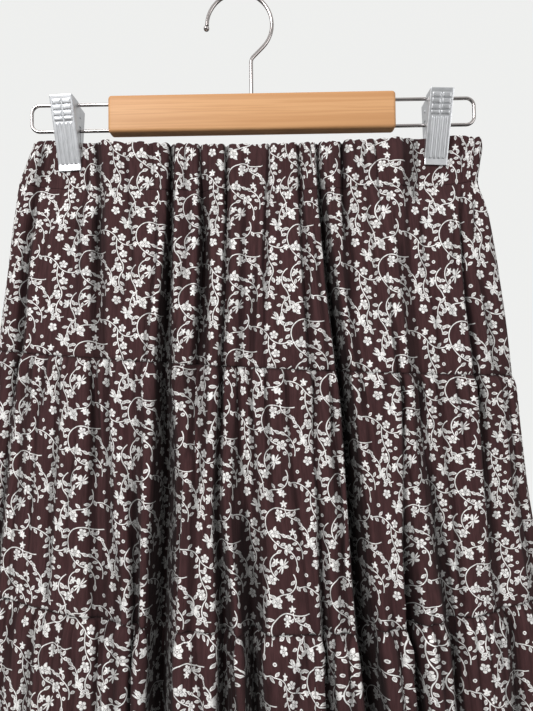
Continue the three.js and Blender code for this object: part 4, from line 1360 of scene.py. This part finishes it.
def metal_material(name, colour, roughness):
    tree, shader = new_material(name, {"Base Color": colour, "Metallic": 1.0})
    place = put(tree, "ShaderNodeTexCoord").outputs["Object"]
    cloud_inputs = {"Vector": place, "Scale": CLOUD_SCALE, "Detail": CLOUD_DETAIL}
    cloudy = put(tree, "ShaderNodeTexNoise", cloud_inputs).outputs[0]
    worn = ramp_between(tree, cloudy, *CLOUD_RANGE, *(roughness * share for share in CLOUD_SHARES))
    tree.links.new(worn, shader.inputs["Roughness"])


# Settings


class ClothLook(bpy.types.PropertyGroup):
    ground: bpy.props.FloatVectorProperty(
        name="Ground", description="Colour of the cloth between the print",
        default=(0.059, 0.0262, 0.0275, 1.0), size=4, min=0.0, max=1.0, subtype="COLOR",
    )
    print_colour: bpy.props.FloatVectorProperty(
        name="Print", description="Colour of the vines, leaves and flowers",
        default=(0.93, 0.92, 0.9, 1.0), size=4, min=0.0, max=1.0, subtype="COLOR",
    )
    crinkle: bpy.props.FloatProperty(
        name="Crinkle", description="Height of the crepe's fine lengthwise crinkle",
        default=0.0006, min=0.0, max=0.002, unit="LENGTH",
    )


class HangerLook(bpy.types.PropertyGroup):
    wood: bpy.props.FloatVectorProperty(
        name="Wood", description="Colour of the lacquered bar",
        default=(0.71, 0.385, 0.178, 1.0), size=4, min=0.0, max=1.0, subtype="COLOR",
    )
    wire: bpy.props.FloatVectorProperty(
        name="Wire", description="Colour of the plated hook and wires",
        default=(0.5, 0.46, 0.45, 1.0), size=4, min=0.0, max=1.0, subtype="COLOR",
    )
    clip: bpy.props.FloatVectorProperty(
        name="Clips", description="Colour of the zinc plated clips",
        default=(0.7, 0.71, 0.73, 1.0), size=4, min=0.0, max=1.0, subtype="COLOR",
    )


class StageLook(bpy.types.PropertyGroup):
    backdrop: bpy.props.FloatVectorProperty(
        name="Backdrop", description="Colour of the room behind the skirt",
        default=(0.86, 0.865, 0.855, 1.0), size=4, min=0.0, max=1.0, subtype="COLOR",
    )
    floor: bpy.props.FloatProperty(
        name="Floor", description="Height of the pale floor below the hook",
        default=-0.86, min=-2.0, max=-0.72, unit="LENGTH",
    )
    key: bpy.props.FloatProperty(
        name="Key Light", description="Power of the large soft light in front, in watts",
        default=21.0, min=0.0, max=200.0,
    )


# Operators


class SKIRT_OT_materials(bpy.types.Operator):
    """Make the crepe, wood, wire and clip materials"""

    bl_idname = "skirt.materials"
    bl_label = "Make Materials"

    def execute(self, context):
        scene = context.scene
        crepe_material(scene.cloth_look)
        wood_material(scene.hanger_look)
        metal_material("plated wire", tuple(scene.hanger_look.wire), WIRE_ROUGHNESS)
        metal_material("zinc plate", tuple(scene.hanger_look.clip), CLIP_ROUGHNESS)
        return {"FINISHED"}


class SKIRT_OT_panels(bpy.types.Operator):
    """Gather the cut pieces and sew them into the skirt"""

    bl_idname = "skirt.panels"
    bl_label = "Sew Skirt"

    def execute(self, context):
        for side in ("front", "back"):
            for piece in PIECES:
                obj = make_panel(piece, side)
        return {"FINISHED"}


class SKIRT_OT_hanger(bpy.types.Operator):
    """Finish the wooden bar, the hook, the wires and the clips"""

    bl_idname = "skirt.hanger"
    bl_label = "Finish Hanger"

    def execute(self, context):
        make_bar()
        make_hook()
        for side, towards in (("left", -1.0), ("right", 1.0)):
            make_wire(side, towards)
            make_clip(side, towards)
        return {"FINISHED"}


def photo_camera():
    turn, tilt, roll = CAMERA_TURN, CAMERA_TILT, CAMERA_ROLL
    ahead = Vector((-math.sin(turn) * math.cos(tilt), math.cos(turn) * math.cos(tilt), math.sin(tilt)))
    level = Vector((math.cos(turn), math.sin(turn), 0.0))
    upright = level.cross(ahead)
    right = math.cos(roll) * level + math.sin(roll) * upright
    top = -math.sin(roll) * level + math.cos(roll) * upright
    data = bpy.data.cameras.new("camera")
    data.lens = CAMERA_LENS
    data.sensor_width = CAMERA_SENSOR
    camera = bpy.data.objects.new("camera", data)
    axes = Matrix((right, top, -ahead)).transposed().to_4x4()
    camera.matrix_world = Matrix.Translation(CAMERA_AT) @ axes
    bpy.context.collection.objects.link(camera)
    bpy.context.scene.camera = camera


def soft_light(name, place, aim, size, power):
    data = bpy.data.lights.new(name, "AREA")
    data.shape = "DISK"
    data.size = size
    data.energy = power
    light = bpy.data.objects.new(name, data)
    light.location = place
    light.rotation_mode = "QUATERNION"
    light.rotation_quaternion = (Vector(aim) - Vector(place)).to_track_quat("-Z", "Y")
    bpy.context.collection.objects.link(light)


def soft_room(look):
    """A pale backdrop for the camera, and softer light from above than from below for the skirt."""
    world = bpy.data.worlds.new("soft room")
    world.use_nodes = True
    tree = world.node_tree
    seen = tree.nodes["Background"]
    seen.inputs["Color"].default_value = tuple(look.backdrop)
    towards = put(tree, "ShaderNodeTexCoord").outputs["Generated"]
    height = put(tree, "ShaderNodeSeparateXYZ", (towards,)).outputs[2]
    strength = ramp_between(tree, height, *ROOM_RANGE, ROOM_LOW, ROOM_HIGH)
    lit = put(tree, "ShaderNodeBackground", {"Color": tuple(look.backdrop), "Strength": strength})
    camera_ray = put(tree, "ShaderNodeLightPath").outputs["Is Camera Ray"]
    both = put(tree, "ShaderNodeMixShader", (camera_ray, lit.outputs[0], seen.outputs[0]))
    tree.links.new(both.outputs[0], tree.nodes["World Output"].inputs["Surface"])
    return world


class SKIRT_OT_stage(bpy.types.Operator):
    """Set the pale floor, the soft lights and the camera"""

    bl_idname = "skirt.stage"
    bl_label = "Set Stage"

    def execute(self, context):
        look = context.scene.stage_look
        deselect()
        bpy.ops.mesh.primitive_circle_add(
            vertices=FLOOR_SIDES, radius=FLOOR_RADIUS, fill_type="NGON", location=(0.0, 0.0, look.floor)
        )
        floor = context.active_object
        floor.name = "floor"
        new_material("pale floor", {"Base Color": tuple(look.backdrop), "Roughness": FLOOR_ROUGHNESS})
        floor.data.materials.append(material("pale floor"))
        context.scene.world = soft_room(look)
        aim = (HANGER_ACROSS, 0.0, AIM_HEIGHT)
        soft_light("key", KEY_AT, aim, KEY_SIZE, look.key)
        soft_light("fill", FILL_AT, aim, FILL_SIZE, look.key * FILL_SHARE)
        context.scene.view_settings.view_transform = "Standard"
        photo_camera()
        return {"FINISHED"}


class SKIRT_PT_panel(bpy.types.Panel):
    """Lists the steps and the looks of the skirt"""

    bl_label = "Tiered Skirt"
    bl_idname = "SKIRT_PT_panel"
    bl_space_type = "VIEW_3D"
    bl_region_type = "UI"
    bl_category = "Skirt"

    def draw(self, context):
        for look in (context.scene.cloth_look, context.scene.hanger_look, context.scene.stage_look):
            for key in look.__annotations__:
                self.layout.prop(look, key)
        for step in STEPS:
            self.layout.operator(step.bl_idname)


LOOKS = {"cloth_look": ClothLook, "hanger_look": HangerLook, "stage_look": StageLook}
STEPS = (SKIRT_OT_materials, SKIRT_OT_panels, SKIRT_OT_hanger, SKIRT_OT_stage)
CLASSES = (*LOOKS.values(), *STEPS, SKIRT_PT_panel)


def register():
    for made in CLASSES:
        bpy.utils.register_class(made)
    for name, look in LOOKS.items():
        setattr(bpy.types.Scene, name, bpy.props.PointerProperty(type=look))


def unregister():
    for name in LOOKS:
        delattr(bpy.types.Scene, name)
    for made in reversed(CLASSES):
        bpy.utils.unregister_class(made)


def main():
    register()
    bpy.ops.skirt.materials()
    bpy.ops.skirt.panels()
    bpy.ops.skirt.hanger()
    bpy.ops.skirt.stage()


if __name__ == "__main__":
    main()
